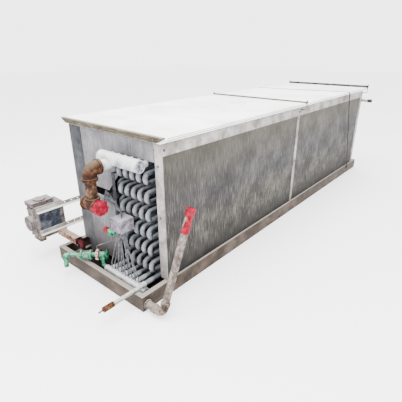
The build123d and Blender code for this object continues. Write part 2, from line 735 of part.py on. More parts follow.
tee_left = ELBOW_X - TEE_LEFT_REACH
tee_right = ELBOW_X + TEE_HALF
with BuildPart() as suction_tee:
    rod((tee_left, riser_y, TEE_Z), (tee_right, riser_y, TEE_Z), TEE_RADIUS)
    rod((tee_left, riser_y, TEE_Z), (tee_left + 18, riser_y, TEE_Z), TEE_COLLAR)
    rod((tee_right - 18, riser_y, TEE_Z), (tee_right, riser_y, TEE_Z), TEE_COLLAR)
    rod((ELBOW_X, riser_y, TEE_Z), (ELBOW_X, riser_y, tee_top), TEE_RADIUS)
    rod((ELBOW_X, riser_y, tee_top - 18), (ELBOW_X, riser_y, tee_top), TEE_COLLAR)
    rod((tee_left - 1, riser_y, TEE_Z), (tee_right + 1, riser_y, TEE_Z), RISER_RADIUS - RISER_WALL,
        mode=Mode.SUBTRACT)
    rod((ELBOW_X, riser_y, TEE_Z), (ELBOW_X, riser_y, tee_top + 1), RISER_RADIUS - RISER_WALL, mode=Mode.SUBTRACT)
    rod((ELBOW_X, riser_y, tee_top - SOCKET_DEPTH), (ELBOW_X, riser_y, tee_top + 1), suction_pipe_bore,
        mode=Mode.SUBTRACT)
    rod((tee_right - STUB_DEPTH, riser_y, TEE_Z), (tee_right + 1, riser_y, TEE_Z), suction_pipe_bore,
        mode=Mode.SUBTRACT)
with BuildPart() as tee_plug:
    plug_reach = RISER_RADIUS - RISER_WALL - SOCKET_CLEARANCE
    rod((tee_left, riser_y, TEE_Z), (tee_left + SOCKET_DEPTH, riser_y, TEE_Z), plug_reach)
    with BuildSketch(Plane(origin=(tee_left, riser_y, TEE_Z), z_dir=(-1, 0, 0))):
        Circle(TEE_RADIUS)
    with BuildSketch(Plane(origin=(tee_left - PLUG_LENGTH, riser_y, TEE_Z), z_dir=(-1, 0, 0))):
        Circle(PLUG_TIP_RADIUS)
    loft()
group([suction_tee.part, tee_plug.part], "suction_tee")

stub_end = tee_right + COVER_LENGTH - COVER_WALL - 2
with BuildPart() as suction_stub:
    pipe((tee_right - STUB_DEPTH, riser_y, TEE_Z), (stub_end, riser_y, TEE_Z), RISER_RADIUS, RISER_WALL)
group([suction_riser.part, suction_stub.part], "suction_riser_pipes")

with BuildPart() as red_cover:
    rod((tee_right + 1, riser_y, TEE_Z), (tee_right + COVER_LENGTH, riser_y, TEE_Z), COVER_RADIUS)
    rod((tee_right, riser_y, TEE_Z), (tee_right + COVER_LENGTH - COVER_WALL, riser_y, TEE_Z),
        RISER_RADIUS + 0.3, mode=Mode.SUBTRACT)
save(red_cover.part, "red_pipe_cover")

# ---------------------------------------------------------------- distributor box, its bracket and thin tubes
BOX_X = (172, 300)
BOX_AHEAD = (195, 62)
BOX_Z = (545, 655)
BOX_SHEET = 3
BOX_LIP = 8
box_y = (front - BOX_AHEAD[0], front - BOX_AHEAD[1])
with BuildPart() as distributor_box:
    block(BOX_X, box_y, BOX_Z)
    block((BOX_X[0] + BOX_SHEET, BOX_X[1] - BOX_SHEET), (box_y[0] + BOX_SHEET, box_y[1] - BOX_SHEET),
          (BOX_Z[0] + BOX_SHEET, BOX_Z[1] - BOX_SHEET), mode=Mode.SUBTRACT)
    tube_holes_x = [BOX_X[0] + 24 + 10 * k for k in range(FEED_COUNT)]
    feed_exit_y = box_y[0] + 40
    for x in tube_holes_x:
        rod((x, feed_exit_y + (tube_holes_x.index(x) % 2) * 26, BOX_Z[0] - 1),
            (x, feed_exit_y + (tube_holes_x.index(x) % 2) * 26, BOX_Z[0] + BOX_SHEET + 1), FEED_RADIUS + 0.3,
            mode=Mode.SUBTRACT)
save(distributor_box.part, "distributor_box")

ARM = 5
BRACKET_X = (40, 78)
BRACKET_FOOT = CORNER_CUT_Z + 12  # the bracket is fixed above the cut corner
BRACKET_TOP = BRACKET_FOOT + 70
BRACKET_ARM_Z = (590, 625)
bracket_back = sheet_face
COIL_BULGE = 46  # how far the bracket's arm stays in front of the coil bends
arm_y = (front - COIL_BULGE - ARM, front - COIL_BULGE)
with BuildPart() as box_bracket:
    block(BRACKET_X, (bracket_back - ARM, bracket_back), (BRACKET_FOOT, BRACKET_TOP))
    block(BRACKET_X, (arm_y[0], bracket_back), (BRACKET_FOOT, BRACKET_FOOT + ARM))
    block(BRACKET_X, arm_y, (BRACKET_ARM_Z[0], BRACKET_FOOT + ARM))
    block((BRACKET_X[0], BOX_X[1] - 30), arm_y, BRACKET_ARM_Z)
    block((BOX_X[0] + 30, BOX_X[1] - 30), (box_y[1], arm_y[1]), BRACKET_ARM_Z)
save(box_bracket.part, "box_bracket")

feeds = []
for k, (x_top, x_low) in enumerate(zip(tube_holes_x, feed_x)):
    y_top = feed_exit_y + (k % 2) * 26
    feeds.append(bent_tube(
        [(x_top, y_top, BOX_Z[0] + BOX_SHEET + 6), (x_top, y_top, BOX_Z[0] - 40 - 12 * (k % 3)),
         (x_low, liquid_y, feed_boss_top + 50 + 14 * (k % 2)), (x_low, liquid_y, feed_boss_top - 7)],
        [30, 30], FEED_RADIUS,
    ))
group(feeds, "feed_tubes")

SENSOR_RADIUS = 4
SENSOR_COUNT = 5
sensors = []
for k in range(SENSOR_COUNT):
    x_in = -52 + 9 * k
    x_box = BOX_X[0] + 22 + 14 * k
    y_box = box_y[0] + 102 - 13 * k
    y_in = front - 62 - 12 * k
    z_in = 756 - 11 * k
    sensors.append(bent_tube(
        [(x_box, y_box, BOX_Z[1] + 0.3), (x_box, y_box, BOX_Z[1] + 34 + 6 * k), (x_in, y_in, z_in + 52),
         (x_in, y_in, z_in), (x_in, front + 46, z_in)],
        [16, 16, 14], SENSOR_RADIUS,
    ))
group(sensors, "sensor_tubes")

# ---------------------------------------------------------------- liquid line, strainer and hand valve
LINE_Z = BASE_HEIGHT + 65
LINE_TURN = 221.7  # direction of the line in plan, from the valve out over the front corner
FLANGE_RADIUS = 45
FLANGE_THICKNESS = 14
VALVE_AT = 45  # along the line from the handwheel
DISC_AT = 74
DISC_THICKNESS = 20
STRAINER_START = 140
STRAINER_END = 236
STRAINER_RADIUS = 29
LINE_ELBOW_AT = 383
LINE_DROP = 122
LINE_ELBOW_RADIUS = 24
LINE_ELBOW_BEND = 34
WHEEL_RADIUS = 50
OUTLET_BEND = 40
line_way = Vector(cos(radians(LINE_TURN)), sin(radians(LINE_TURN)), 0)
wheel_centre = Vector(-33, liquid_y - VALVE_AT * line_way.Y, LINE_Z)


def along(distance, drop=0):
    """The point on the liquid line at a distance from the handwheel, and drop below it."""
    return tuple(wheel_centre + line_way * distance - Vector(0, 0, drop))


valve_point = along(VALVE_AT)
with BuildPart() as valve_body:
    rod(along(22), along(DISC_AT + DISC_THICKNESS), 27)
    rod(along(DISC_AT), along(DISC_AT + DISC_THICKNESS), FLANGE_RADIUS)
    rod(along(DISC_AT + DISC_THICKNESS), along(STRAINER_START), LINE_RADIUS + 5)
    rod(along(14), along(22), 17)
    rod(valve_point, along(VALVE_AT, 46), 23)
    rod(along(VALVE_AT, 20), along(VALVE_AT, 47), LINE_RADIUS + SOCKET_CLEARANCE, mode=Mode.SUBTRACT)
    rod(along(VALVE_AT), along(STRAINER_START + 1), LINE_RADIUS - LINE_WALL, mode=Mode.SUBTRACT)
    rod(along(VALVE_AT), along(VALVE_AT, 30), LINE_RADIUS - LINE_WALL, mode=Mode.SUBTRACT)
    rod(along(13), along(VALVE_AT), 6 + RUNNING_CLEARANCE, mode=Mode.SUBTRACT)
save(valve_body.part, "valve_body")

WHEEL_RIM = 6
with BuildPart() as handwheel:
    wheel_plane = Plane(origin=along(0), x_dir=(0, 0, 1), z_dir=line_way)
    with BuildSketch(wheel_plane.offset(-WHEEL_RIM)):
        Circle(WHEEL_RADIUS)
        Circle(WHEEL_RADIUS - 2 * WHEEL_RIM, mode=Mode.SUBTRACT)
    extrude(amount=2 * WHEEL_RIM)
    with BuildSketch(wheel_plane.offset(-WHEEL_RIM / 2)):
        with PolarLocations(0, 4):
            with Locations((WHEEL_RADIUS / 2, 0)):
                Rectangle(WHEEL_RADIUS - WHEEL_RIM, 10)
    extrude(amount=WHEEL_RIM)
    rod(along(-9), along(9), 13)
    rod(along(9), along(40), 6)
save(handwheel.part, "valve_handwheel")

with BuildPart() as strainer:
    rod(along(STRAINER_START), along(STRAINER_END), STRAINER_RADIUS)
    for at in (STRAINER_START, STRAINER_END - FLANGE_THICKNESS):
        rod(along(at), along(at + FLANGE_THICKNESS), FLANGE_RADIUS)
    rod(along(STRAINER_START - 1), along(STRAINER_END + 1), LINE_RADIUS - LINE_WALL, mode=Mode.SUBTRACT)
    bolt_circle = 37
    bolt_turns = [45 + 90 * k for k in range(4)]
    line_side = Vector(-line_way.Y, line_way.X, 0)
    bolt_offsets = [line_side * (bolt_circle * cos(radians(t))) + Vector(0, 0, bolt_circle * sin(radians(t)))
                    for t in bolt_turns]
    for offset_by in bolt_offsets:
        rod(Vector(*along(STRAINER_START - 1)) + offset_by, Vector(*along(STRAINER_END + 1)) + offset_by, 4.4,
            mode=Mode.SUBTRACT)
save(strainer.part, "strainer_body")

bolts = []
for offset_by in bolt_offsets:
    with BuildPart() as bolt:
        rod(Vector(*along(STRAINER_START - 10)) + offset_by, Vector(*along(STRAINER_END + 12)) + offset_by, 4)
        rod(Vector(*along(STRAINER_START - 7)) + offset_by, Vector(*along(STRAINER_START)) + offset_by, 7.5)
        rod(Vector(*along(STRAINER_END)) + offset_by, Vector(*along(STRAINER_END + 7)) + offset_by, 7.5)
    bolts.append(bolt.part)
group(bolts, "strainer_bolts")

with BuildPart() as liquid_line:
    route = [along(STRAINER_END), along(LINE_ELBOW_AT), along(LINE_ELBOW_AT, LINE_DROP)]
    add(bent_tube(route, [LINE_ELBOW_BEND], LINE_RADIUS))
    elbow_route = [along(LINE_ELBOW_AT - 46), along(LINE_ELBOW_AT), along(LINE_ELBOW_AT, 46)]
    add(bent_tube(elbow_route, [LINE_ELBOW_BEND], LINE_ELBOW_RADIUS))
    rod(along(LINE_ELBOW_AT, LINE_DROP - 40), along(LINE_ELBOW_AT, LINE_DROP), 22)
    rod(along(STRAINER_END), along(STRAINER_END + 22), 21)
    add(bent_tube(route, [LINE_ELBOW_BEND], LINE_RADIUS - LINE_WALL), mode=Mode.SUBTRACT)
save(liquid_line.part, "liquid_line")

outlet_route = [
    along(VALVE_AT, 24),
    (valve_point[0], liquid_y, liquid_z),
    (header_left + LIQUID_WALL + 4, liquid_y, liquid_z),
]
save(bent_tube(outlet_route, [OUTLET_BEND], LINE_RADIUS, LINE_WALL), "valve_outlet_pipe")

# ---------------------------------------------------------------- expansion valve beside the box
BLOCK_SIZE = 48
BLOCK_Z = (474, 526)
BLOCK_ASIDE = 20  # from the box's left side
CAP_RADIUS = 26
CAP_LENGTH = 52
block_x = (BOX_X[0] - BLOCK_SIZE - BLOCK_ASIDE, BOX_X[0] - BLOCK_ASIDE)
block_y = (box_y[0], box_y[0] + BLOCK_SIZE)
block_middle = Vector(sum(block_x) / 2, sum(block_y) / 2, sum(BLOCK_Z) / 2)
cap_way = Vector(-1, 0, 0)
cap_start = Vector(block_x[0], block_middle.Y, block_middle.Z)
with BuildPart() as expansion_valve:
    block(block_x, block_y, BLOCK_Z)
    rod(cap_start + Vector(1, 0, 0), cap_start + cap_way * 26, 13)
    block((block_x[1] - 1, BOX_X[0] + 22), (block_y[0], block_y[0] + 26), (BLOCK_Z[1] - 10, BLOCK_Z[1]))
    block((BOX_X[0] + 4, BOX_X[0] + 22), (block_y[0], block_y[0] + 26), (BLOCK_Z[1] - 1, BOX_Z[0]))
save(expansion_valve.part, "expansion_valve")

cap_face = cap_start + cap_way * 8
with BuildPart() as valve_cap:
    rod(cap_face, cap_face + cap_way * CAP_LENGTH, CAP_RADIUS)
    rod(cap_face - cap_way, cap_face + cap_way * 30, 13 + RUNNING_CLEARANCE, mode=Mode.SUBTRACT)
    cap_plane = Plane(origin=cap_face, x_dir=(0, 0, 1), z_dir=cap_way)
    with BuildSketch(cap_plane):
        with PolarLocations(CAP_RADIUS, 8):
            Circle(2.6)
    extrude(amount=CAP_LENGTH, mode=Mode.SUBTRACT)
save(valve_cap.part, "expansion_valve_cap")

pilot_foot = Vector(*along(DISC_AT + DISC_THICKNESS / 2)) + Vector(0, 0, FLANGE_RADIUS + 0.3)
pilot_top = Vector(block_x[0] + 14, block_middle.Y, BLOCK_Z[0])
save(
    bent_tube(
        [tuple(pilot_foot), tuple(pilot_foot + Vector(0, 0, 46)), tuple(pilot_top - Vector(0, 0, 60)),
         tuple(pilot_top)],
        [24, 24], SENSOR_RADIUS,
    ),
    "pilot_line",
)

# ---------------------------------------------------------------- purge pipe out over the front rim
purge_front = base_front - PURGE_REACH
purge_low = liquid_z + LIQUID_RADIUS - 4
save(
    bent_tube(
        [(PURGE_X, liquid_y, purge_low), (PURGE_X, liquid_y, PURGE_Z), (PURGE_X, purge_front, PURGE_Z)],
        [PURGE_Z - purge_low - 8], PURGE_RADIUS, PURGE_WALL,
    ),
    "purge_pipe",
)
COUPLING_LENGTH = 92
COUPLING_RADIUS = 23
COUPLING_OVERLAP = 30
STEM_RADIUS = 6
coupling_back = purge_front + COUPLING_OVERLAP
with BuildPart() as coupling:
    rod((PURGE_X, coupling_back, PURGE_Z), (PURGE_X, coupling_back - COUPLING_LENGTH, PURGE_Z), COUPLING_RADIUS)
    rod((PURGE_X, coupling_back - COUPLING_LENGTH, PURGE_Z), (PURGE_X, coupling_back - COUPLING_LENGTH - 42, PURGE_Z),
        STEM_RADIUS)
    rod((PURGE_X, coupling_back + 1, PURGE_Z), (PURGE_X, purge_front, PURGE_Z), PURGE_RADIUS + SOCKET_CLEARANCE,
        mode=Mode.SUBTRACT)
    rod((PURGE_X, purge_front, PURGE_Z), (PURGE_X, coupling_back - COUPLING_LENGTH + 8, PURGE_Z),
        PURGE_RADIUS - PURGE_WALL, mode=Mode.SUBTRACT)
save(coupling.part, "purge_coupling")

# ---------------------------------------------------------------- circulating pump at the front left corner
PUMP_X = (-side - 250, -side - 86)
PUMP_FRONT = 448  # ahead of the cabinet
PUMP_BACK = 142
PUMP_Z = (236, 560)
PUMP_END = 34
PUMP_RECESS = 14
PUMP_BELL_RADIUS = 74
PUMP_BELL_LENGTH = 52
PUMP_WALL = 8
SHAFT_RADIUS = 12
SHAFT_CLEARANCE = 0.06
pump_axis_x = sum(PUMP_X) / 2
pump_axis_z = 396
pump_y = (front - PUMP_FRONT, front - PUMP_BACK)
bell_y = pump_y[0] - PUMP_BELL_LENGTH + 30
case_front = pump_y[0] + 30
with BuildPart() as motor_case:
    block(PUMP_X, (case_front, pump_y[1]), PUMP_Z)
    for face in ((PUMP_X[1] - PUMP_RECESS, PUMP_X[1] + 1), (PUMP_X[0] - 1, PUMP_X[0] + PUMP_RECESS)):
        block(face, (case_front + PUMP_END, pump_y[1] - PUMP_END), (PUMP_Z[0] + 34, PUMP_Z[1] - 62),
              mode=Mode.SUBTRACT)
    block((PUMP_X[0] + PUMP_RECESS + PUMP_WALL, PUMP_X[1] - PUMP_RECESS - PUMP_WALL),
          (case_front - 1, pump_y[1] - PUMP_WALL), (PUMP_Z[0] + 42, PUMP_Z[1] - 70), mode=Mode.SUBTRACT)
    rod((pump_axis_x, pump_y[1] - 30, pump_axis_z), (pump_axis_x, pump_y[1] + 1, pump_axis_z),
        SHAFT_RADIUS + SHAFT_CLEARANCE, mode=Mode.SUBTRACT)
save(motor_case.part, "motor_case")

with BuildPart() as motor_bell:
    rod((pump_axis_x, case_front, pump_axis_z), (pump_axis_x, case_front - 16, pump_axis_z), PUMP_BELL_RADIUS + 6)
    rod((pump_axis_x, case_front - 16, pump_axis_z), (pump_axis_x, bell_y, pump_axis_z), PUMP_BELL_RADIUS)
    block((pump_axis_x - 60, pump_axis_x + 60), (case_front - 12, case_front), (PUMP_Z[0] + 20, PUMP_Z[1] - 20))
    rod((pump_axis_x, case_front + 1, pump_axis_z), (pump_axis_x, bell_y + PUMP_WALL, pump_axis_z),
        PUMP_BELL_RADIUS - PUMP_WALL, mode=Mode.SUBTRACT)
    with BuildSketch(Plane(origin=(pump_axis_x, bell_y, pump_axis_z), x_dir=(1, 0, 0), z_dir=(0, 1, 0))):
        with PolarLocations(PUMP_BELL_RADIUS * 0.62, 8):
            Circle(7)
    extrude(amount=PUMP_WALL, mode=Mode.SUBTRACT)
save(motor_bell.part, "motor_end_bell")

ROTOR_RADIUS = 46
with BuildPart() as rotor:
    rod((pump_axis_x, case_front + 50, pump_axis_z), (pump_axis_x, pump_y[1] - 50, pump_axis_z), ROTOR_RADIUS)
    rod((pump_axis_x, bell_y + PUMP_WALL + 4, pump_axis_z), (pump_axis_x, pump_y[1] + 3, pump_axis_z), SHAFT_RADIUS)
    with BuildSketch(Plane(origin=(pump_axis_x, case_front - 4, pump_axis_z), x_dir=(1, 0, 0), z_dir=(0, -1, 0))):
        Circle(22)
        with PolarLocations(0, 6):
            with Locations((38, 0)):
                Rectangle(36, 5)
    extrude(amount=14)
save(rotor.part, "motor_rotor")

with BuildPart() as motor_bearing:
    rod((pump_axis_x, case_front + 26, pump_axis_z), (pump_axis_x, case_front + 40, pump_axis_z), 48)
    block((PUMP_X[0] + PUMP_RECESS + PUMP_WALL, PUMP_X[1] - PUMP_RECESS - PUMP_WALL),
          (case_front + 28, case_front + 38), (PUMP_Z[0] + 42, PUMP_Z[1] - 70))
    rod((pump_axis_x, case_front + 20, pump_axis_z), (pump_axis_x, case_front + 41, pump_axis_z),
        SHAFT_RADIUS + SHAFT_CLEARANCE, mode=Mode.SUBTRACT)
save(motor_bearing.part, "motor_bearing_plate")

TOP_PLATE_HEIGHT = 40
TOP_COVER = (pump_y[0] + 16, pump_y[1] - 70)
terminal = []
with BuildPart() as top_plate:
    block((PUMP_X[0] - 4, PUMP_X[1] - 30), TOP_COVER, (PUMP_Z[1], PUMP_Z[1] + TOP_PLATE_HEIGHT))
terminal.append(top_plate.part)
with BuildPart() as top_cap:
    rod((pump_axis_x - 8, sum(TOP_COVER) / 2, PUMP_Z[1] + TOP_PLATE_HEIGHT),
        (pump_axis_x - 8, sum(TOP_COVER) / 2, PUMP_Z[1] + TOP_PLATE_HEIGHT + 14), 56)
terminal.append(top_cap.part)
group(terminal, "motor_terminal_box")

with BuildPart() as motor_foot:
    block((PUMP_X[0] + 20, PUMP_X[1] - 20), (pump_y[0] + 34, pump_y[0] + 96), (PUMP_Z[0] - 36, PUMP_Z[0]))
    block((PUMP_X[0] + 34, PUMP_X[1] - 34), (pump_y[0] + 46, pump_y[0] + 84), (PUMP_Z[0] - 37, PUMP_Z[0] - 14),
          mode=Mode.SUBTRACT)
save(motor_foot.part, "motor_foot")

RAIL_SIZE = 40
RAIL_THICKNESS = 5
RAIL_BACK = 330  # behind the cabinet's front
LOWER_RAIL_Z = 284
UPPER_RAIL_Z = 512
SPACER_AT = (120, 280)
rail_face = PUMP_X[1]
rail_tip = rail_face + RAIL_SIZE
pump_rails = []
for low in (LOWER_RAIL_Z, UPPER_RAIL_Z):
    with BuildPart() as rail:
        block((rail_face, rail_face + RAIL_THICKNESS), (pump_y[0] + 36, front + RAIL_BACK), (low, low + RAIL_SIZE))
        block((rail_face + RAIL_THICKNESS, rail_tip), (pump_y[0] + 36, front + RAIL_BACK),
              (low, low + RAIL_THICKNESS))
        for k in range(5):
            y = pump_y[1] + 20 + 70 * k
            rod((rail_face - 1, y, low + RAIL_SIZE / 2 + 3), (rail_face + RAIL_THICKNESS + 1, y,
                low + RAIL_SIZE / 2 + 3), 6, mode=Mode.SUBTRACT)
        for at in SPACER_AT:
            block((rail_face + RAIL_THICKNESS, FRAME_WALL - side), (front + at, front + at + 30),
                  (low + RAIL_THICKNESS, low + RAIL_SIZE))
    pump_rails.append(rail.part)
group(pump_rails, "pump_rails")

INLET_SIZE = 60
INLET_WALL = 5
INLET_AHEAD = 212
INLET_END = -360
inlet_y = front - INLET_AHEAD
inlet_z = LOWER_RAIL_Z - INLET_SIZE / 2
with BuildPart() as inlet_tube:
    block((PUMP_X[1], INLET_END), (inlet_y - INLET_SIZE / 2, inlet_y + INLET_SIZE / 2),
          (inlet_z - INLET_SIZE / 2, inlet_z + INLET_SIZE / 2))
    block((PUMP_X[1] - 1, INLET_END + 1),
          (inlet_y - INLET_SIZE / 2 + INLET_WALL, inlet_y + INLET_SIZE / 2 - INLET_WALL),
          (inlet_z - INLET_SIZE / 2 + INLET_WALL, inlet_z + INLET_SIZE / 2 - INLET_WALL), mode=Mode.SUBTRACT)
save(inlet_tube.part, "pump_inlet_tube")

HOSE_RADIUS = 22
HOSE_WALL = 4
INLET_FLANGE = 10
FLANGE_HALF = 37
HOSE_REACH = 52
HOSE_FOOT_Z = 46
STRAINER_FOOT_RADIUS = 30
hose_x = INLET_END + INLET_FLANGE + HOSE_REACH
with BuildPart() as inlet_flange:
    block((INLET_END, INLET_END + INLET_FLANGE), (inlet_y - FLANGE_HALF, inlet_y + FLANGE_HALF),
              (inlet_z - FLANGE_HALF, inlet_z + FLANGE_HALF))
    rod((INLET_END + INLET_FLANGE, inlet_y, inlet_z), (INLET_END + INLET_FLANGE + 14, inlet_y, inlet_z),
        HOSE_RADIUS - HOSE_WALL - 0.3)
    rod((INLET_END - 1, inlet_y, inlet_z), (INLET_END + INLET_FLANGE + 15, inlet_y, inlet_z), 14,
        mode=Mode.SUBTRACT)
save(inlet_flange.part, "inlet_flange")

save(
    bent_tube(
        [(INLET_END + INLET_FLANGE, inlet_y, inlet_z), (hose_x, inlet_y, inlet_z), (hose_x, inlet_y, HOSE_FOOT_Z)],
        [HOSE_REACH - 16], HOSE_RADIUS, HOSE_WALL,
    ),
    "inlet_hose",
)

with BuildPart() as intake_strainer:
    rod((hose_x, inlet_y, FLOOR_THICKNESS), (hose_x, inlet_y, HOSE_FOOT_Z), STRAINER_FOOT_RADIUS)
    rod((hose_x, inlet_y, FLOOR_THICKNESS + 6), (hose_x, inlet_y, HOSE_FOOT_Z - 4), STRAINER_FOOT_RADIUS - 4,
        mode=Mode.SUBTRACT)
    rod((hose_x, inlet_y, HOSE_FOOT_Z - 5), (hose_x, inlet_y, HOSE_FOOT_Z + 1), HOSE_RADIUS - HOSE_WALL,
        mode=Mode.SUBTRACT)
    with BuildSketch(Plane(origin=(hose_x, inlet_y, (FLOOR_THICKNESS + HOSE_FOOT_Z) / 2), z_dir=(1, 0, 0))):
        Rectangle(10, 16)
    extrude(amount=40, both=True, mode=Mode.SUBTRACT)
    with BuildSketch(Plane(origin=(hose_x, inlet_y, (FLOOR_THICKNESS + HOSE_FOOT_Z) / 2), z_dir=(0, 1, 0))):
        Rectangle(10, 16)
    extrude(amount=40, both=True, mode=Mode.SUBTRACT)
save(intake_strainer.part, "intake_strainer")

# ---------------------------------------------------------------- swing drain pieces
DRAIN_NUT_RADIUS = 42
DRAIN_NUT_LENGTH = 12
ELBOW_SOCKET = 40
DRAIN_PIPE_SEAT = 62  # from the elbow's corner to the standing pipe's end
DRAIN_CAP_RADIUS = 37
DRAIN_CAP_LENGTH = 70
DRAIN_RIM_RADIUS = 42
MARKER_LENGTH = 130
nipple_end = base_side + NIPPLE_OUTSIDE
with BuildPart() as nipple:
    pipe((base_side - NIPPLE_INSIDE, drain_y, DRAIN_Z), (nipple_end, drain_y, DRAIN_Z), DRAIN_PIPE_RADIUS,
         DRAIN_WALL)
nipple_pieces = [nipple.part]
for near, far in ((base_side, base_side + DRAIN_NUT_LENGTH), (channel_inside - DRAIN_NUT_LENGTH, channel_inside)):
    with BuildPart() as nut:
        with BuildSketch(Plane(origin=(near, drain_y, DRAIN_Z), z_dir=(1, 0, 0))):
            RegularPolygon(DRAIN_NUT_RADIUS, 8)
            Circle(DRAIN_PIPE_RADIUS + 0.3, mode=Mode.SUBTRACT)
        extrude(amount=far - near)
    nipple_pieces.append(nut.part)
group(nipple_pieces, "drain_nipple")

elbow_mouth = drain_corner + drain_way * (DRAIN_PIPE_SEAT + 30)
elbow_start = (nipple_end - ELBOW_SOCKET, drain_y, DRAIN_Z)
drain_elbow_route = [elbow_start, tuple(drain_corner), tuple(elbow_mouth)]
with BuildPart() as drain_elbow:
    add(bent_tube(drain_elbow_route, [DRAIN_BEND], DRAIN_ELBOW_RADIUS - 4))
    rod(elbow_start, (nipple_end - ELBOW_SOCKET + 26, drain_y, DRAIN_Z), DRAIN_ELBOW_RADIUS)
    rod(elbow_mouth, elbow_mouth - drain_way * 26, DRAIN_ELBOW_RADIUS)
    add(bent_tube(drain_elbow_route, [DRAIN_BEND], DRAIN_PIPE_RADIUS + RUNNING_CLEARANCE - 4), mode=Mode.SUBTRACT)
    rod((nipple_end - ELBOW_SOCKET - 1, drain_y, DRAIN_Z), (nipple_end + 0.5, drain_y, DRAIN_Z),
        DRAIN_PIPE_RADIUS + RUNNING_CLEARANCE, mode=Mode.SUBTRACT)
    rod(elbow_mouth + drain_way, drain_corner + drain_way * DRAIN_PIPE_SEAT,
        DRAIN_PIPE_RADIUS + RUNNING_CLEARANCE, mode=Mode.SUBTRACT)
save(drain_elbow.part, "drain_elbow")

pipe_foot = drain_corner + drain_way * DRAIN_PIPE_SEAT
pipe_head = pipe_foot + drain_way * DRAIN_PIPE_LENGTH
with BuildPart() as drain_pipe:
    pipe(pipe_foot, pipe_head, DRAIN_PIPE_RADIUS, DRAIN_WALL)
save(drain_pipe.part, "drain_swing_pipe")

cap_low = pipe_head - drain_way * (DRAIN_CAP_LENGTH - 8)
cap_top = pipe_head + drain_way * 8
with BuildPart() as drain_cap:
    rod(cap_low, cap_top, DRAIN_CAP_RADIUS)
    rod(cap_top - drain_way * 14, cap_top - drain_way * 2, DRAIN_RIM_RADIUS)
    rod(cap_low - drain_way, pipe_head + drain_way * 0.2, DRAIN_PIPE_RADIUS + SOCKET_CLEARANCE, mode=Mode.SUBTRACT)
with BuildPart() as marker:
    marker_low = cap_low - drain_way * MARKER_LENGTH
    rod(marker_low, cap_low - drain_way, DRAIN_PIPE_RADIUS + 4)
    rod(marker_low - drain_way, cap_low, DRAIN_PIPE_RADIUS + 0.3, mode=Mode.SUBTRACT)
    split(bisect_by=Plane(origin=tuple(marker_low), z_dir=(cos(radians(35)), -sin(radians(35)), 0)), keep=Keep.TOP)
group([drain_cap.part, marker.part], "drain_pipe_cap")
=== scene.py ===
"""A weathered milk-cooling tank with its coils, valves and pump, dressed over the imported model.

Metres. +Z is up, +Y runs from the piping end to the back, +X is the right-hand side.
"""

import json
import math

import bmesh
import bpy
from mathutils import Matrix, Vector, noise

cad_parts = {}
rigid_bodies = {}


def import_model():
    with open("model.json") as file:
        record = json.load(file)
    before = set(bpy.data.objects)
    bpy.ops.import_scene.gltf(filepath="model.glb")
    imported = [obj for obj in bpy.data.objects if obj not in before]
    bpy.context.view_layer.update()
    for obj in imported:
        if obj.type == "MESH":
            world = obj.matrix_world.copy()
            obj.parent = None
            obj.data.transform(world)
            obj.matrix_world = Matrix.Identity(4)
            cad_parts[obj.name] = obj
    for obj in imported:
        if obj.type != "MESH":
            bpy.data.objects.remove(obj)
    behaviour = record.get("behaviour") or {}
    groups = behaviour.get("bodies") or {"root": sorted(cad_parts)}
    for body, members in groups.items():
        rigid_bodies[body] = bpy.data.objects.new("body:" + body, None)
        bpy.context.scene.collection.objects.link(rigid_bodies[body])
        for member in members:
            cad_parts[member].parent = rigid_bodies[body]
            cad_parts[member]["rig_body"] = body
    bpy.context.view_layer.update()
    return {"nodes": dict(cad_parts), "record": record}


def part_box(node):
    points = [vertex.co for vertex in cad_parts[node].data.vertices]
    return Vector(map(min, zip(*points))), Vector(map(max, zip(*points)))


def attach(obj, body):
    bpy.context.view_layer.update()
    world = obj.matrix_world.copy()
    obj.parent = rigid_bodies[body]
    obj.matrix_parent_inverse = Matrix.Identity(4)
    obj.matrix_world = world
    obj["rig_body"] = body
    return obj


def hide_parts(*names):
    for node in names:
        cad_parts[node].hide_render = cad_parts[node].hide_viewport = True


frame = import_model()
nodes = frame["nodes"]
joints = {joint["name"]: joint for joint in frame["record"]["behaviour"]["joints"]}

# ---------------------------------------------------------------- camera
# A hand-held view from the right of the piping end, a little above head height,
# looking down the whole length of the tank.
AZIMUTH = math.radians(40.29)
ELEVATION = math.radians(23.48)
ROLL = math.radians(-0.15)
EYE = (2.387, -3.815, 1.914)
LENS = 31.45
SENSOR_WIDTH = 36.0

camera = bpy.data.objects.new("camera", bpy.data.cameras.new("camera"))
bpy.context.scene.collection.objects.link(camera)
camera.data.sensor_width = SENSOR_WIDTH
camera.data.lens = LENS
camera.data.clip_end = 60.0
level_right = Vector((math.cos(AZIMUTH), math.sin(AZIMUTH), 0))
backward = Vector((
    math.sin(AZIMUTH) * math.cos(ELEVATION),
    -math.cos(AZIMUTH) * math.cos(ELEVATION),
    math.sin(ELEVATION),
))
level_up = backward.cross(level_right)
right = math.cos(ROLL) * level_right + math.sin(ROLL) * level_up
up = math.cos(ROLL) * level_up - math.sin(ROLL) * level_right
camera.matrix_world = Matrix((
    (right.x, up.x, backward.x, EYE[0]),
    (right.y, up.y, backward.y, EYE[1]),
    (right.z, up.z, backward.z, EYE[2]),
    (0, 0, 0, 1),
))
bpy.context.scene.camera = camera


# ---------------------------------------------------------------- floor and light
# A white studio floor under an even white sky, with one broad soft lamp from the front
# right, as on a bright overcast day in a yard.
def linear(code):
    """A colour written as sRGB hex, in the linear values that the shaders take."""
    parts = [int(code[i:i + 2], 16) / 255 for i in (1, 3, 5)]
    return tuple(p / 12.92 if p <= 0.04045 else ((p + 0.055) / 1.055) ** 2.4 for p in parts) + (1.0,)


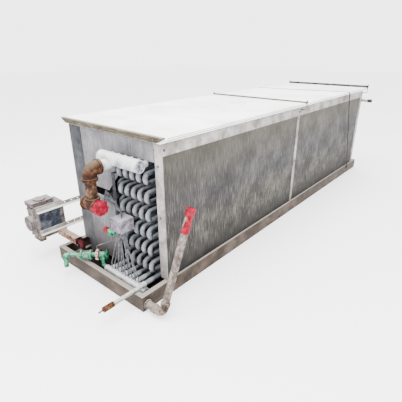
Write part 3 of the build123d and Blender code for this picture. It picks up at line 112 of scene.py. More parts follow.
def add(tree, kind, settings=None, links=None):
    """Adds a shader node. A setting is a socket's name or number, "stops" of a ramp, or a property."""
    made = tree.nodes.new(kind)
    for key, value in (settings or {}).items():
        if key == "stops":
            ramp = made.color_ramp.elements
            while len(ramp) < len(value):
                ramp.new(0.5)
            for stop, (place, colour) in zip(ramp, value):
                stop.position = place
                stop.color = linear(colour) if isinstance(colour, str) else (colour,) * 3 + (1,)
        elif isinstance(key, int) or key in made.inputs:
            made.inputs[key].default_value = linear(value) if isinstance(value, str) else value
        else:
            setattr(made, key, value)
    for key, source in (links or {}).items():
        tree.links.new(source, made.inputs[key])
    return made


def new_material(name):
    """An empty node material with its shader joined to the output."""
    made = bpy.data.materials.new(name)
    made.use_nodes = True
    tree = made.node_tree
    tree.nodes.clear()
    shader = add(tree, "ShaderNodeBsdfPrincipled")
    add(tree, "ShaderNodeOutputMaterial", links={"Surface": shader.outputs["BSDF"]})
    return made, tree, shader


FLOOR_HALF = 30
FLOOR_Z = -0.001
SKY_STRENGTH = 4.2
corners = [(x * FLOOR_HALF, y * FLOOR_HALF, FLOOR_Z) for x, y in ((-1, -1), (1, -1), (1, 1), (-1, 1))]
floor_mesh = bpy.data.meshes.new("studio_floor")
floor_mesh.from_pydata(corners, [], [(0, 1, 2, 3)])
floor = bpy.data.objects.new("studio_floor", floor_mesh)
bpy.context.scene.collection.objects.link(floor)
floor_paint, tree, shader = new_material("white_studio_floor")
floor_tone = add(tree, "ShaderNodeTexNoise", {"Scale": 0.8, "Detail": 2.0})
floor_ramp = add(tree, "ShaderNodeValToRGB", {"stops": [(0.3, "#f6f6f5"), (0.7, "#f9f9f8")]},
                 {"Fac": floor_tone.outputs["Fac"]})
tree.links.new(floor_ramp.outputs["Color"], shader.inputs["Base Color"])
shader.inputs["Roughness"].default_value = 0.95
floor.data.materials.append(floor_paint)

world = bpy.data.worlds.new("white_sky")
bpy.context.scene.world = world
world.use_nodes = True
world.node_tree.nodes["Background"].inputs["Color"].default_value = linear("#fbfcff")
world.node_tree.nodes["Background"].inputs["Strength"].default_value = SKY_STRENGTH


def lamp(name, place, target, size, power, colour):
    """A square soft lamp that points at target."""
    made = bpy.data.objects.new(name, bpy.data.lights.new(name, "AREA"))
    bpy.context.scene.collection.objects.link(made)
    made.data.size = size
    made.data.energy = power
    made.data.color = linear(colour)[:3]
    made.location = place
    made.rotation_euler = (Vector(place) - Vector(target)).to_track_quat("Z", "Y").to_euler()


lamp("sky_lamp", (0.5, -2.0, 6.5), (0, 0.0, 0.6), 5.0, 900, "#fffdf8")
lamp("front_lamp", (2.8, -6.0, 3.2), (0, -2.0, 0.6), 1.6, 330, "#fbfaff")


# ---------------------------------------------------------------- pan and base channels
# A welded steel pan: a floor plate inside four channels, painted taupe long ago. The flanges' tops carry a
# pale painted highlight, and the floor is wet and nearly black.
WELD_DISTANCE = 1e-5
FLAT_ANGLE = 0.5
CORNER_ANGLE = 32
CRISP_ANGLE = 38
SPECULAR = 0.12


def smooth(mesh, angle):
    """Smooth faces, with every edge sharper than the angle left crisp."""
    for face in mesh.polygons:
        face.use_smooth = True
    work = bmesh.new()
    work.from_mesh(mesh)
    limit = math.radians(angle)
    for edge in work.edges:
        edge.smooth = len(edge.link_faces) == 2 and edge.calc_face_angle(0) < limit
    work.to_mesh(mesh)
    work.free()


def eased(node, width, material):
    """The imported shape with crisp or, where width isn't 0, rounded corners, standing for its node."""
    mesh = nodes[node].data.copy()
    work = bmesh.new()
    work.from_mesh(mesh)
    bmesh.ops.remove_doubles(work, verts=work.verts, dist=WELD_DISTANCE)
    if width:
        bmesh.ops.dissolve_limit(work, angle_limit=math.radians(FLAT_ANGLE), verts=work.verts,
                                 edges=work.edges)
    work.to_mesh(mesh)
    work.free()
    piece = bpy.data.objects.new(node + "_dressed", mesh)
    bpy.context.scene.collection.objects.link(piece)
    mesh.materials.clear()
    mesh.materials.append(material)
    if width:
        rounding = piece.modifiers.new("rounding", "BEVEL")
        rounding.width = width
        rounding.segments = 2
        rounding.limit_method = "ANGLE"
        rounding.angle_limit = math.radians(CORNER_ANGLE)
        graph = bpy.context.evaluated_depsgraph_get()
        graph.update()
        piece.data = bpy.data.meshes.new_from_object(piece.evaluated_get(graph))
        piece.modifiers.clear()
    smooth(piece.data, CRISP_ANGLE)
    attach(piece, nodes[node]["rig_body"])
    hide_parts(node)
    return piece


def painted(node, material):
    """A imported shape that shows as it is, in one material."""
    nodes[node].data.materials.clear()
    nodes[node].data.materials.append(material)


def weathered(name, tones, patch, rough=(0.55, 0.8), metallic=0.0, streak=None, spots=None, bands=(),
              dust=None, bump=(0.3, 0.006)):
    """A worn surface, sizes in metres. tones: dark to light, in blotches of the patch size.
    streak: share, width and scale along XYZ. spots: colour, size and threshold. bands: axis, from, to, colour
    and strength. dust: colour and strength on what faces up, which is dust on most finishes and a painted
    highlight on the base and the coils. bump: strength, size."""
    made, tree, shader = new_material(name)
    where = add(tree, "ShaderNodeTexCoord").outputs["Object"]
    patches = add(tree, "ShaderNodeTexNoise", {"Scale": 1 / patch, "Detail": 7.0, "Roughness": 0.66},
                  {"Vector": where}).outputs["Fac"]
    value = patches
    if streak:
        stretched = add(tree, "ShaderNodeMapping", {"Scale": streak[2]}, {"Vector": where})
        lines = add(tree, "ShaderNodeTexNoise", {"Scale": 1 / streak[1], "Detail": 4.0, "Roughness": 0.7},
                    {"Vector": stretched.outputs["Vector"]})
        value = add(tree, "ShaderNodeMix", {"data_type": "FLOAT", 0: streak[0]},
                    {2: patches, 3: lines.outputs["Fac"]}).outputs[0]
    stops = list(zip((0.38, 0.50, 0.61), tones))
    colour = add(tree, "ShaderNodeValToRGB", {"stops": stops}, {"Fac": value}).outputs["Color"]
    if spots:
        speck = add(tree, "ShaderNodeTexNoise", {"Scale": 1 / spots[1], "Detail": 8.0, "Roughness": 0.75},
                    {"Vector": where})
        mask = add(tree, "ShaderNodeValToRGB", {"stops": [(spots[2], 0.0), (spots[2] + 0.06, 1.0)]},
                   {"Fac": speck.outputs["Fac"]})
        colour = add(tree, "ShaderNodeMix", {"data_type": "RGBA", 7: spots[0]},
                     {0: mask.outputs["Color"], 6: colour}).outputs[2]
    place = add(tree, "ShaderNodeSeparateXYZ", links={"Vector": where})
    for axis, start, end, tint, strength in bands:
        limits = {"From Min": start, "From Max": end, "To Min": 2 * strength, "To Max": 0.0}
        fade = add(tree, "ShaderNodeMapRange", limits, {"Value": place.outputs[axis]})
        uneven = add(tree, "ShaderNodeMath", {"operation": "MULTIPLY", "use_clamp": True},
                     {0: fade.outputs["Result"], 1: patches})
        colour = add(tree, "ShaderNodeMix", {"data_type": "RGBA", 7: tint},
                     {0: uneven.outputs["Value"], 6: colour}).outputs[2]
    if dust:
        facing = add(tree, "ShaderNodeSeparateXYZ",
                     links={"Vector": add(tree, "ShaderNodeNewGeometry").outputs["Normal"]})
        upper = add(tree, "ShaderNodeMapRange", {"From Min": 0.3, "From Max": 0.9, "To Max": dust[1]},
                    {"Value": facing.outputs["Z"]})
        colour = add(tree, "ShaderNodeMix", {"data_type": "RGBA", 7: dust[0]},
                     {0: upper.outputs["Result"], 6: colour}).outputs[2]
    tree.links.new(colour, shader.inputs["Base Color"])
    dull = add(tree, "ShaderNodeMapRange", {"To Min": rough[0], "To Max": rough[1]}, {"Value": value})
    tree.links.new(dull.outputs["Result"], shader.inputs["Roughness"])
    shader.inputs["Metallic"].default_value = metallic
    shader.inputs["Specular IOR Level"].default_value = SPECULAR
    grain = add(tree, "ShaderNodeTexNoise", {"Scale": 1 / bump[1], "Detail": 5.0, "Roughness": 0.6},
                {"Vector": where})
    relief = add(tree, "ShaderNodeBump", {"Strength": bump[0], "Distance": bump[1] * 0.3},
                 {"Height": grain.outputs["Fac"]})
    tree.links.new(relief.outputs["Normal"], shader.inputs["Normal"])
    return made


# brushed enamel, blotched over 20 cm, with 2 cm rust spots and a pale painted highlight on the flanges' tops
base_paint = weathered("taupe_base_paint", ("#2a221e", "#3a312a", "#4a4039"), 0.2,
                       spots=("#241910", 0.02, 0.6), dust=("#858078", 0.85), bump=(0.4, 0.006))
# standing water over black scale
pan_dark = weathered("wet_pan_floor", ("#040404", "#0a0908", "#151311"), 0.15, rough=(0.2, 0.6))
painted("pan_floor", pan_dark)
eased("base_channels", 0.002, base_paint)


# ---------------------------------------------------------------- cabinet frame
# Hot-dip galvanised angle iron: corner posts, middle posts and deep top rails. The zinc is
# dull, with brown run-off, and zinc hex bolts hold the joints.
def finish_mesh(work, name, material, body="root", angle=35):
    """Makes a piece of the finished mesh, which rides on a body."""
    mesh = bpy.data.meshes.new(name)
    work.to_mesh(mesh)
    work.free()
    piece = bpy.data.objects.new(name, mesh)
    bpy.context.scene.collection.objects.link(piece)
    mesh.materials.append(material)
    smooth(mesh, angle)
    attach(piece, body)
    return piece


def disc(work, centre, way, radius, thick, sides=24, taper=1.0):
    """A round or many-sided block from centre along way."""
    way = Vector(way).normalized()
    turn = way.to_track_quat("Z", "Y").to_matrix().to_4x4()
    middle = Matrix.Translation(Vector(centre) + way * thick / 2)
    bmesh.ops.create_cone(work, cap_ends=True, segments=sides, radius1=radius, radius2=radius * taper,
                          depth=thick, matrix=middle @ turn)


def heads(name, places, way, across, height, material, body="root"):
    """Hex heads on washers, standing out along way."""
    work = bmesh.new()
    for place in places:
        disc(work, place, way, across * 0.75, height * 0.22, 16)
        disc(work, Vector(place) + Vector(way) * height * 0.22, way, across / 2, height * 0.78, 6, 0.93)
    return finish_mesh(work, name, material, body, 30)


# dull zinc, blotched over 15 cm, brown where it has run
frame_zinc = weathered("galvanised_angle_iron", ("#66615c", "#827e7b", "#9f9a96"), 0.15, metallic=0.1,
                       spots=("#554231", 0.03, 0.62), dust=("#ceccc6", 0.8),
                       bands=(("Z", 0.13, 0.42, "#453b32", 0.6),))
# small zinc-plated fasteners with rust in the corners
bolt_zinc = weathered("dull_zinc_bolts", ("#302f30", "#514f53", "#77757a"), 0.02, metallic=0.5,
                      spots=("#462717", 0.008, 0.6), bump=(0.2, 0.002))
eased("frame_posts", 0.0015, frame_zinc)
eased("top_rails", 0.0015, frame_zinc)
SIDE_BOLT_LEVELS = (0.17, 0.66, 1.165, 1.245)
FRONT_BOLT_LEVELS = (0.20, 0.70, 1.12)
post_low, post_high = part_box("frame_posts")
mid_y = (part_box("front_lid")[1].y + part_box("rear_lid")[0].y) / 2
for side, label in ((1, "right"), (-1, "left")):
    face = side * post_high.x
    spots = [(face, y, z) for y in (mid_y, post_high.y - 0.036) for z in SIDE_BOLT_LEVELS]
    spots.append((face, post_low.y + 0.03, SIDE_BOLT_LEVELS[-1]))
    heads(f"frame_bolts_{label}", spots, (side, 0, 0), 0.016, 0.006, bolt_zinc)
spots = [(post_high.x - 0.04, post_low.y, z) for z in FRONT_BOLT_LEVELS]
heads("front_post_bolts", spots, (0, -1, 0), 0.014, 0.005, bolt_zinc)

# ---------------------------------------------------------------- side and rear sheets
# Thin galvanised sheet inside the frame. Rain and dirt have left fine upright streaks, the sheet darkens
# towards the piping end, and painted shade runs near-black along the foot of each sheet. The baffle beside
# the coils is the same sheet.
# weathered zinc, 9 mm wide streaks stretched 14 times in height over 30 cm blotches, tinted olive and
# blue-grey above, darker towards the piping end, with near-black painted shade along the foot
side_zinc = weathered("streaked_galvanised_sheet", ("#0d0d0c", "#34322e", "#6a665f"), 0.30, metallic=0.1,
                      streak=(0.62, 0.009, (1, 1, 0.07)),
                      bands=(("Z", 1.25, 0.75, "#5d573f", 0.45), ("Z", 0.80, 0.45, "#3b3c48", 0.25),
                             ("Z", 0.13, 0.40, "#0a0908", 0.9),
                             ("Y", post_low.y, post_low.y + 1.6, "#1c1a18", 0.35)),
                      bump=(0.25, 0.012))
for name in ("side_panels_left", "side_panels_right", "rear_panel", "water_baffle"):
    painted(name, side_zinc)

# ---------------------------------------------------------------- front sheets and dark strip
# Two plates close the left part of the piping end, and the upper one is pop-riveted along its
# edges. A darker strip stands in front of the left post.
# newer zinc with faint 15 mm streaks, and brown stains from the pan at its foot
front_zinc = weathered("galvanised_front_sheet", ("#484648", "#5f5d5f", "#757375"), 0.2, metallic=0.05,
                       streak=(0.4, 0.015, (1, 1, 0.06)), spots=("#4b382b", 0.03, 0.63),
                       bands=(("Z", 0.06, 0.4, "#3f3128", 0.55),), bump=(0.25, 0.015))
# zinc gone dark with age, paler where water has washed its foot
strip_zinc = weathered("dark_front_strip", ("#212124", "#323336", "#46474a"), 0.12, metallic=0.1,
                       streak=(0.4, 0.012, (1, 1, 0.06)), bands=(("Z", 0.13, 0.9, "#615f60", 0.6),))
eased("front_panel_upper", 0.0004, front_zinc)
eased("front_panel_lower", 0.0004, front_zinc)
eased("front_strip", 0.0008, strip_zinc)
RIVET_PITCH = 0.098
sheet_low, sheet_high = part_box("front_panel_upper")
work = bmesh.new()
rivets = [(sheet_low.x + 0.03 + RIVET_PITCH * k, sheet_low.y, sheet_high.z - 0.02) for k in range(10)]
rivets += [(sheet_low.x + 0.02, sheet_low.y, z) for z in (1.12, 0.98, 0.84)]
for place in rivets:
    disc(work, place, (0, -1, 0), 0.0045, 0.0018, 14, 0.6)
finish_mesh(work, "front_sheet_rivets", bolt_zinc)

# ---------------------------------------------------------------- lids and the lip board
# Two flat lids of chalky aluminium sheet over insulation, resting on the rails by their
# weight. A bare grey board is screwed along the front edge as a lip.
# chalked mill-finish aluminium, blotched over half a metre, with 1 cm specks of dirt
lid_paint = weathered("chalky_aluminium_sheet", ("#dddcd9", "#efeeec", "#faf9f8"), 0.5, rough=(0.6, 0.85),
                      spots=("#8d877c", 0.010, 0.70), bump=(0.2, 0.03))
# bare softwood gone grey, its 6 mm grain running along the board
lip_wood = weathered("weathered_lip_board", ("#2c261f", "#4a4237", "#686255"), 0.15, rough=(0.75, 0.95),
                     streak=(0.65, 0.006, (0.04, 1, 1)), dust=("#888378", 0.7), bump=(0.6, 0.004))
eased("front_lid", 0.004, lid_paint)
eased("rear_lid", 0.004, lid_paint)
eased("front_lid_lip", 0.003, lip_wood)
lip_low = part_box("front_lid_lip")[0]


def slab(work, low, high):
    """A cuboid between two corners."""
    size = [h - l for l, h in zip(low, high)]
    middle = Matrix.Translation([(l + h) / 2 for l, h in zip(low, high)])
    bmesh.ops.create_cube(work, size=1, matrix=middle @ Matrix.Diagonal((*size, 1)))


SCREW_PITCH = 0.16
SCREW_COUNT = 8
work = bmesh.new()
for k in range(SCREW_COUNT):
    x = SCREW_PITCH * (k - (SCREW_COUNT - 1) / 2)
    disc(work, (x, lip_low.y, lip_low.z + 0.022), (0, -1, 0), 0.005, 0.0012, 16, 0.8)
finish_mesh(work, "lip_screws", bolt_zinc, "front_lid")
# the board is three thin planks deep, with dark open joints between them
# the same near-black also serves as painted shade along the lids' edges below
plank_joint_and_shade_dark = weathered("open_joint_and_painted_shade", ("#080705", "#14110d", "#241f18"), 0.1, rough=(0.9, 1.0))
LIP_FOOT_HALF = 0.588
LIP_END_SLOPE = 1.2
work = bmesh.new()
for rise in (0.0155, 0.0285):
    z = lip_low.z + rise
    half = LIP_FOOT_HALF + rise * LIP_END_SLOPE
    slab(work, (-half, lip_low.y - 0.0006, z - 0.0011), (half, lip_low.y + 0.001, z + 0.0011))
finish_mesh(work, "lip_board_joints", plank_joint_and_shade_dark, "front_lid")
# painted shade: two thin black lines along the folded edge of each lid, and one between lid and rail
SHADE_LINE_HALF = 0.0014
rail_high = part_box("top_rails")[1]
for node in ("front_lid", "rear_lid"):
    low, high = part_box(node)
    work = bmesh.new()
    for side in (-1, 1):
        for edge, z in ((high.x, high.z - 0.0185), (high.x, high.z - 0.0040),
                        (rail_high.x, rail_high.z + 0.0015)):
            near, far = sorted((side * (edge - 0.0008), side * (edge + 0.0004)))
            slab(work, (near, low.y + 0.008, z - SHADE_LINE_HALF), (far, high.y - 0.008, z + SHADE_LINE_HALF))
    finish_mesh(work, f"{node}_painted_shade_lines", plank_joint_and_shade_dark, nodes[node]["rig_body"])

# ---------------------------------------------------------------- hold-down bars and hook bolts
# A grooved board lies over the seam between the lids, and a square tube over the back. Hook
# bolts at their ends pull them down to the rails.
# mill scale with 3 cm rust patches and dust on top
bar_steel = weathered("dark_rusty_bar", ("#1e1a19", "#312d2a", "#4b4642"), 0.1, spots=("#421e11", 0.03, 0.56),
                      dust=("#645f5a", 0.5))
eased("seam_bar", 0.002, lip_wood)
eased("rear_bar", 0.002, bar_steel)
eased("hook_bolts", 0.0, bolt_zinc)

# ---------------------------------------------------------------- webbing strap and its anchors
# Flat woven polyester, thrown over the rear lid on the slant, pulled tight and bolted to a
# steel plate on each side of the base.
WEB_WIDTH = 0.030
WEB_THICK = 0.0022
WEB_SLANT = 0.25
WEB_STEPS = 14
WEB_RIPPLE = 0.0007
# woven polyester with a 2 mm weave
webbing = weathered("black_webbing", ("#0d0d0e", "#1a1a1c", "#2e2e31"), 0.05, rough=(0.8, 0.95),
                    bump=(0.5, 0.002))
strap_low, strap_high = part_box("lid_strap")
lid_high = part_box("rear_lid")[1]
anchor_low, anchor_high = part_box("strap_anchors")
foot_y = strap_high.y - WEB_WIDTH / 2 - 0.001
left_y = strap_low.y + WEB_WIDTH / 2 + 0.001
right_y = left_y + WEB_SLANT
edge_x = lid_high.x + 0.0045
web_top = lid_high.z + 0.0016
anchor_x = anchor_high.x + 0.0018
anchor_z = anchor_low.z + 0.02
route = [Vector((-anchor_x, foot_y, anchor_z)), Vector((-edge_x, left_y, lid_high.z - 0.004)),
         Vector((-edge_x + 0.008, left_y, web_top)), Vector((edge_x - 0.008, right_y, web_top)),
         Vector((edge_x, right_y, lid_high.z - 0.004)), Vector((anchor_x, foot_y, anchor_z))]
broad_sides = [(-1, 0, 0), (-1, 0, 1), (0, 0, 1), (1, 0, 1), (1, 0, 0)]
work = bmesh.new()
rings = []
for start, end, face in zip(route, route[1:], broad_sides):
    way = (end - start).normalized()
    across = way.cross(Vector(face)).normalized()
    out = across.cross(way).normalized()
    for step in range(1 if rings else 0, WEB_STEPS + 1):
        ripple = WEB_RIPPLE * math.sin(step * 1.6) if step % WEB_STEPS else 0
        middle = start.lerp(end, step / WEB_STEPS) + out * ripple
        rings.append([work.verts.new(middle + across * a * WEB_WIDTH / 2 + out * b * WEB_THICK / 2)
                      for a, b in ((-1, -1), (1, -1), (1, 1), (-1, 1))])
for first, second in zip(rings, rings[1:]):
    for k in range(4):
        work.faces.new((first[k], first[(k + 1) % 4], second[(k + 1) % 4], second[k]))
work.faces.new(rings[0])
work.faces.new(rings[-1][::-1])
bmesh.ops.recalc_face_normals(work, faces=work.faces)
strap = finish_mesh(work, "webbing_strap", webbing)
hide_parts("lid_strap")
eased("strap_anchors", 0.001, bolt_zinc)


# ---------------------------------------------------------------- coil bank and its supports
# Serpentines of steel pipe with frost and scale on the front of their bends. A painted highlight lies on the
# bends' front rims and tops, and painted shade deeper in the bank. Slotted plates on channel bearers carry
# them.
coil_low, coil_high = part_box("coil_bank")
cabinet_front = post_low.y
# dark wet pipe in 6 cm patches, pale with frost and a painted highlight where the bends stand out in front,
# near-black painted shade deeper in, and a painted highlight with frost on the tops
coil_zinc_and_painted_light = weathered("frosted_coil_pipe_painted_light_and_shade", ("#0e1012", "#25282c", "#46494e"), 0.06,
                      bands=(("Y", cabinet_front - 0.045, cabinet_front - 0.005, "#9c9da1", 0.55),
                             ("Y", cabinet_front + 0.6, cabinet_front + 0.1, "#0c0d0d", 0.9)),
                      dust=("#85888c", 0.45), bump=(0.5, 0.005))
eased("coil_bank", 0.0, coil_zinc_and_painted_light)
painted("coil_supports", coil_zinc_and_painted_light)


# ---------------------------------------------------------------- suction and liquid headers
# Two capped pipes furred with white frost. Each coil end is welded into a nozzle, and each
# cap is welded on, so a lumpy bead runs round every joint.
COLUMNS = 6
COLUMN_PITCH = 0.080
TUBE_RADIUS = 0.0212
SUCTION_RADIUS = 0.0508
LIQUID_RADIUS = 0.03015
NOZZLE_REACH = 0.030


def ring(work, centre, way, radius, size, lumps=0.0, count=40, around=8):
    """A round bar bent into a ring about way, lumpy if asked."""
    turn = Vector(way).to_track_quat("Z", "Y")
    rows = []
    for i in range(count):
        a = 2 * math.pi * i / count
        flat = Vector((math.cos(a), math.sin(a), 0))
        thick = size * (1 + lumps * noise.noise(flat * 3 + Vector(centre) * 9))
        rows.append([work.verts.new(Vector(centre) + turn @ (flat * (radius + thick * math.cos(b))
                                                             + Vector((0, 0, thick * math.sin(b)))))
                     for b in (2 * math.pi * k / around for k in range(around))])
    for i in range(count):
        after = rows[(i + 1) % count]
        for k in range(around):
            work.faces.new((rows[i][k], after[k], after[(k + 1) % around], rows[i][(k + 1) % around]))


# thick frost in 7 cm clumps over steel pipe, whitest on top
header_frost = weathered("frosted_header_pipe", ("#6e6e73", "#97979b", "#b6b6b8"), 0.07,
                         spots=("#56555b", 0.02, 0.66), dust=("#c7c7c9", 0.8), bump=(0.5, 0.006))
eased("suction_header", 0.0015, header_frost)
eased("liquid_header", 0.0012, header_frost)
suction_low, suction_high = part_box("suction_header")
liquid_low, liquid_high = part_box("liquid_header")
suction_middle = (suction_high.y - SUCTION_RADIUS - NOZZLE_REACH, suction_high.z - SUCTION_RADIUS)
liquid_middle = (liquid_high.y - LIQUID_RADIUS - NOZZLE_REACH, coil_low.z + TUBE_RADIUS)
work = bmesh.new()
for k in range(COLUMNS):
    x = coil_high.x - TUBE_RADIUS - COLUMN_PITCH * k
    ring(work, (x, suction_high.y, suction_middle[1]), (0, 1, 0), 0.0232, 0.003, 0.3)
    ring(work, (x, liquid_high.y, liquid_middle[1]), (0, 1, 0), 0.0232, 0.003, 0.3)
for x in (suction_low.x + 0.008, suction_high.x - 0.008):
    ring(work, (x, *suction_middle), (1, 0, 0), 0.0500, 0.0022, 0.3, 64)
for x in (liquid_low.x + 0.006, liquid_high.x - 0.006):
    ring(work, (x, *liquid_middle), (1, 0, 0), 0.0295, 0.0018, 0.3, 48)
finish_mesh(work, "header_weld_beads", header_frost)
# the bare cap plates inside their weld beads
cap_steel = weathered("grey_header_cap", ("#3f4044", "#66676c", "#95969b"), 0.03, bump=(0.5, 0.004))
work = bmesh.new()
disc(work, (suction_high.x - 0.0005, *suction_middle), (1, 0, 0), 0.0435, 0.0012, 48)
disc(work, (liquid_high.x - 0.0005, *liquid_middle), (1, 0, 0), 0.0250, 0.0012, 40)
finish_mesh(work, "header_cap_faces", cap_steel)

# ---------------------------------------------------------------- suction elbow, riser and tee
# Threaded malleable-iron fittings and a short pipe, all brown rust. The elbow has gone dark;
# the riser is more orange.
# old casting, 12 mm scabs of paler rust on nearly black scale
dark_rust = weathered("dark_rusty_casting", ("#160a05", "#2a150a", "#492e1c"), 0.05, rough=(0.8, 0.95),
                      spots=("#614c3b", 0.012, 0.62), dust=("#645546", 0.55), bump=(0.8, 0.004))
# threaded pipe, brighter rust with 15 mm dark pits
orange_rust = weathered("orange_rusty_pipe", ("#1a110b", "#3b281b", "#624836"), 0.05, rough=(0.8, 0.95),
                        spots=("#180b04", 0.015, 0.6), bump=(0.8, 0.004))
eased("suction_elbow", 0.0025, dark_rust)
eased("suction_tee", 0.0025, dark_rust)
eased("suction_riser_pipes", 0.001, orange_rust)

# ---------------------------------------------------------------- red cover on the open pipe stub
# A red plastic sleeve bunched over the stub's open end, so that it is all folds and lumps.
COVER_ROUND = 96
CORE_RADIUS = 0.0449
# thin crimson polythene, creased every 5 mm or so
red = weathered("creased_red_plastic", ("#4a0210", "#6d031b", "#8c0b26"), 0.03, rough=(0.35, 0.6),
                bump=(0.5, 0.005))
cover_low, cover_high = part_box("red_pipe_cover")
cover_middle = (cover_low + cover_high) / 2
cover_radius = (cover_high.z - cover_low.z) / 2
cover_length = cover_high.x - cover_low.x
profile = [(i / 8 * 0.86, 1.0) for i in range(9)]
profile += [(0.94, 0.93), (0.99, 0.78), (1.0, 0.6), (1.0, 0.4), (1.0, 0.2)]
work = bmesh.new()
rows = []
for reach, share in profile:
    row = []
    for k in range(COVER_ROUND):
        a = 2 * math.pi * k / COVER_ROUND
        way = Vector((0, math.cos(a), math.sin(a)))
        fold = noise.noise(Vector((reach * 6.5, way.y * 4.4, way.z * 4.4))) * 0.20
        fold += noise.noise(Vector((reach * 9.0, way.y * 9, way.z * 9))) * 0.08
        radius = cover_radius * share * min(1.0, max(0.74, 0.88 + fold))
        sink = 0.010 * noise.noise(Vector((share * 5, way.y * 5, way.z * 5))) - 0.004 if reach > 0.9 else 0
        x = cover_low.x + reach * cover_length + max(-0.0045, min(0.0, sink))
        row.append(work.verts.new((x, cover_middle.y + way.y * radius, cover_middle.z + way.z * radius)))
    rows.append(row)
for x in (cover_low.x, cover_high.x - 0.0055):
    turns = [2 * math.pi * k / COVER_ROUND for k in range(COVER_ROUND)]
    rows.insert(0, [work.verts.new((x, cover_middle.y + CORE_RADIUS * math.cos(a),
                                    cover_middle.z + CORE_RADIUS * math.sin(a))) for a in turns])
for first, second in zip(rows, rows[1:]):
    for k in range(COVER_ROUND):
        work.faces.new((first[k], first[(k + 1) % COVER_ROUND], second[(k + 1) % COVER_ROUND], second[k]))
work.faces.new(rows[0][::-1])
work.faces.new(rows[-1])
bmesh.ops.recalc_face_normals(work, faces=work.faces)
cover = finish_mesh(work, "red_folded_cover", red, angle=60)
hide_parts("red_pipe_cover")

# ---------------------------------------------------------------- distributor box and thin tubes
# A small folded box on a bent bracket. Thin bare tubes drop from it to the bosses on the
# liquid header, and five sensor tubes climb out of its top and into the cabinet.
# grey enamel with a lilac cast, chipped in 12 mm spots
box_steel = weathered("lilac_grey_painted_box", ("#46414a", "#605a64", "#7b767d"), 0.05,
                      spots=("#392d2c", 0.012, 0.62), dust=("#9e9ba0", 0.6), bump=(0.3, 0.005))
# bent steel strip, blackened by oil
bracket_steel = weathered("dark_bent_bracket", ("#161618", "#2b2b2f", "#46464b"), 0.04)
# capillary tube gone dull grey
thin_tube = weathered("bare_thin_tube", ("#323236", "#4a4b4f", "#656568"), 0.03, metallic=0.2,
                      bump=(0.3, 0.003))
eased("distributor_box", 0.002, box_steel)
eased("box_bracket", 0.001, bracket_steel)
eased("feed_tubes", 0.0, thin_tube)
eased("sensor_tubes", 0.0, thin_tube)
SCREW_INSET = 0.012
box_low, box_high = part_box("distributor_box")
work = bmesh.new()
for x in (box_low.x + SCREW_INSET, box_high.x - SCREW_INSET):
    for z in (box_low.z + SCREW_INSET, box_high.z - SCREW_INSET):
        disc(work, (x, box_low.y, z), (0, -1, 0), 0.005, 0.003, 16, 0.8)
finish_mesh(work, "box_screws", bolt_zinc)

# ---------------------------------------------------------------- expansion valve, cap and pilot line
# A brass block in mint enamel beside the box, with a fluted red plastic cap that turns on its
# neck, and a thin pilot line down to the hand valve.
# mint enamel, chalky on top, chipped in 1 cm spots
mint = weathered("mint_enamel_on_brass", ("#003622", "#126444", "#598d72"), 0.03, rough=(0.45, 0.7),
                 spots=("#859789", 0.01, 0.64), dust=("#739983", 0.5), bump=(0.4, 0.003))
eased("expansion_valve", 0.002, mint)
eased("expansion_valve_cap", 0.0015, red)
eased("pilot_line", 0.0, thin_tube)

# ---------------------------------------------------------------- hand valve, strainer and liquid line
# Green-enamelled castings on the liquid line: a valve with a five-spoked wheel, a strainer
# between two bolted flanges, and an elbow that drops over the pan's front corner.
WHEEL_RADIUS = 0.0435
WHEEL_RIM = 0.0060
SPOKE_COUNT = 5
DISC_AT = 0.0735
DISC_RADIUS = 0.0500
DISC_THICK = 0.0210
# a deeper green than the castings, chipped to brown primer in 8 mm spots
wheel_green = weathered("chipped_green_wheel_enamel", ("#002a18", "#00482b", "#2d7052"), 0.02,
                        rough=(0.4, 0.65), spots=("#423427", 0.008, 0.64))
for name, width in (("liquid_line", 0.0012), ("strainer_body", 0.0018), ("valve_body", 0.0018),
                    ("valve_outlet_pipe", 0.0)):
    eased(name, width, mint)
eased("strainer_bolts", 0.0008, bolt_zinc)
wheel_centre = Vector(joints["handwheel_turn"]["pos_m"])
wheel_way = Vector(joints["handwheel_turn"]["axis"]).normalized()
wheel_side = wheel_way.cross(Vector((0, 0, 1))).normalized()
work = bmesh.new()
ring(work, wheel_centre, wheel_way, WHEEL_RADIUS, WHEEL_RIM, 0.0, 64, 12)
disc(work, wheel_centre - wheel_way * 0.009, wheel_way, 0.013, 0.018, 24)
disc(work, wheel_centre - wheel_way * 0.013, wheel_way, 0.007, 0.004, 6)
disc(work, wheel_centre + wheel_way * 0.009, wheel_way, 0.006, 0.031, 20)
for k in range(SPOKE_COUNT):
    a = 2 * math.pi * k / SPOKE_COUNT
    spoke = Vector((0, 0, 1)) * math.cos(a) + wheel_side * math.sin(a)
    disc(work, wheel_centre + spoke * 0.009, spoke, 0.0050, 0.032, 12, 0.8)
wheel = finish_mesh(work, "spoked_handwheel", wheel_green, "handwheel", 40)
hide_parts("valve_handwheel")
# the disc behind the wheel was painted white over red, and both show
disc_paint = weathered("white_over_red_paint", ("#4a0a0a", "#8f3a34", "#c9b3ac"), 0.03,
                       spots=("#d9d2cd", 0.02, 0.52))
work = bmesh.new()
disc(work, wheel_centre + wheel_way * DISC_AT, wheel_way, DISC_RADIUS, DISC_THICK, 40)
finish_mesh(work, "painted_valve_disc", disc_paint)

# ---------------------------------------------------------------- purge pipe and coupling
# A pale steel pipe lies in a notch of the front rim. Its copper-coloured coupling is dull and
# ends in a bare stem.
# pale green-grey paint, mottled over 4 cm
purge_paint = weathered("pale_green_purge_pipe", ("#535950", "#737a70", "#959a92"), 0.04,
                        dust=("#adb0a9", 0.6))
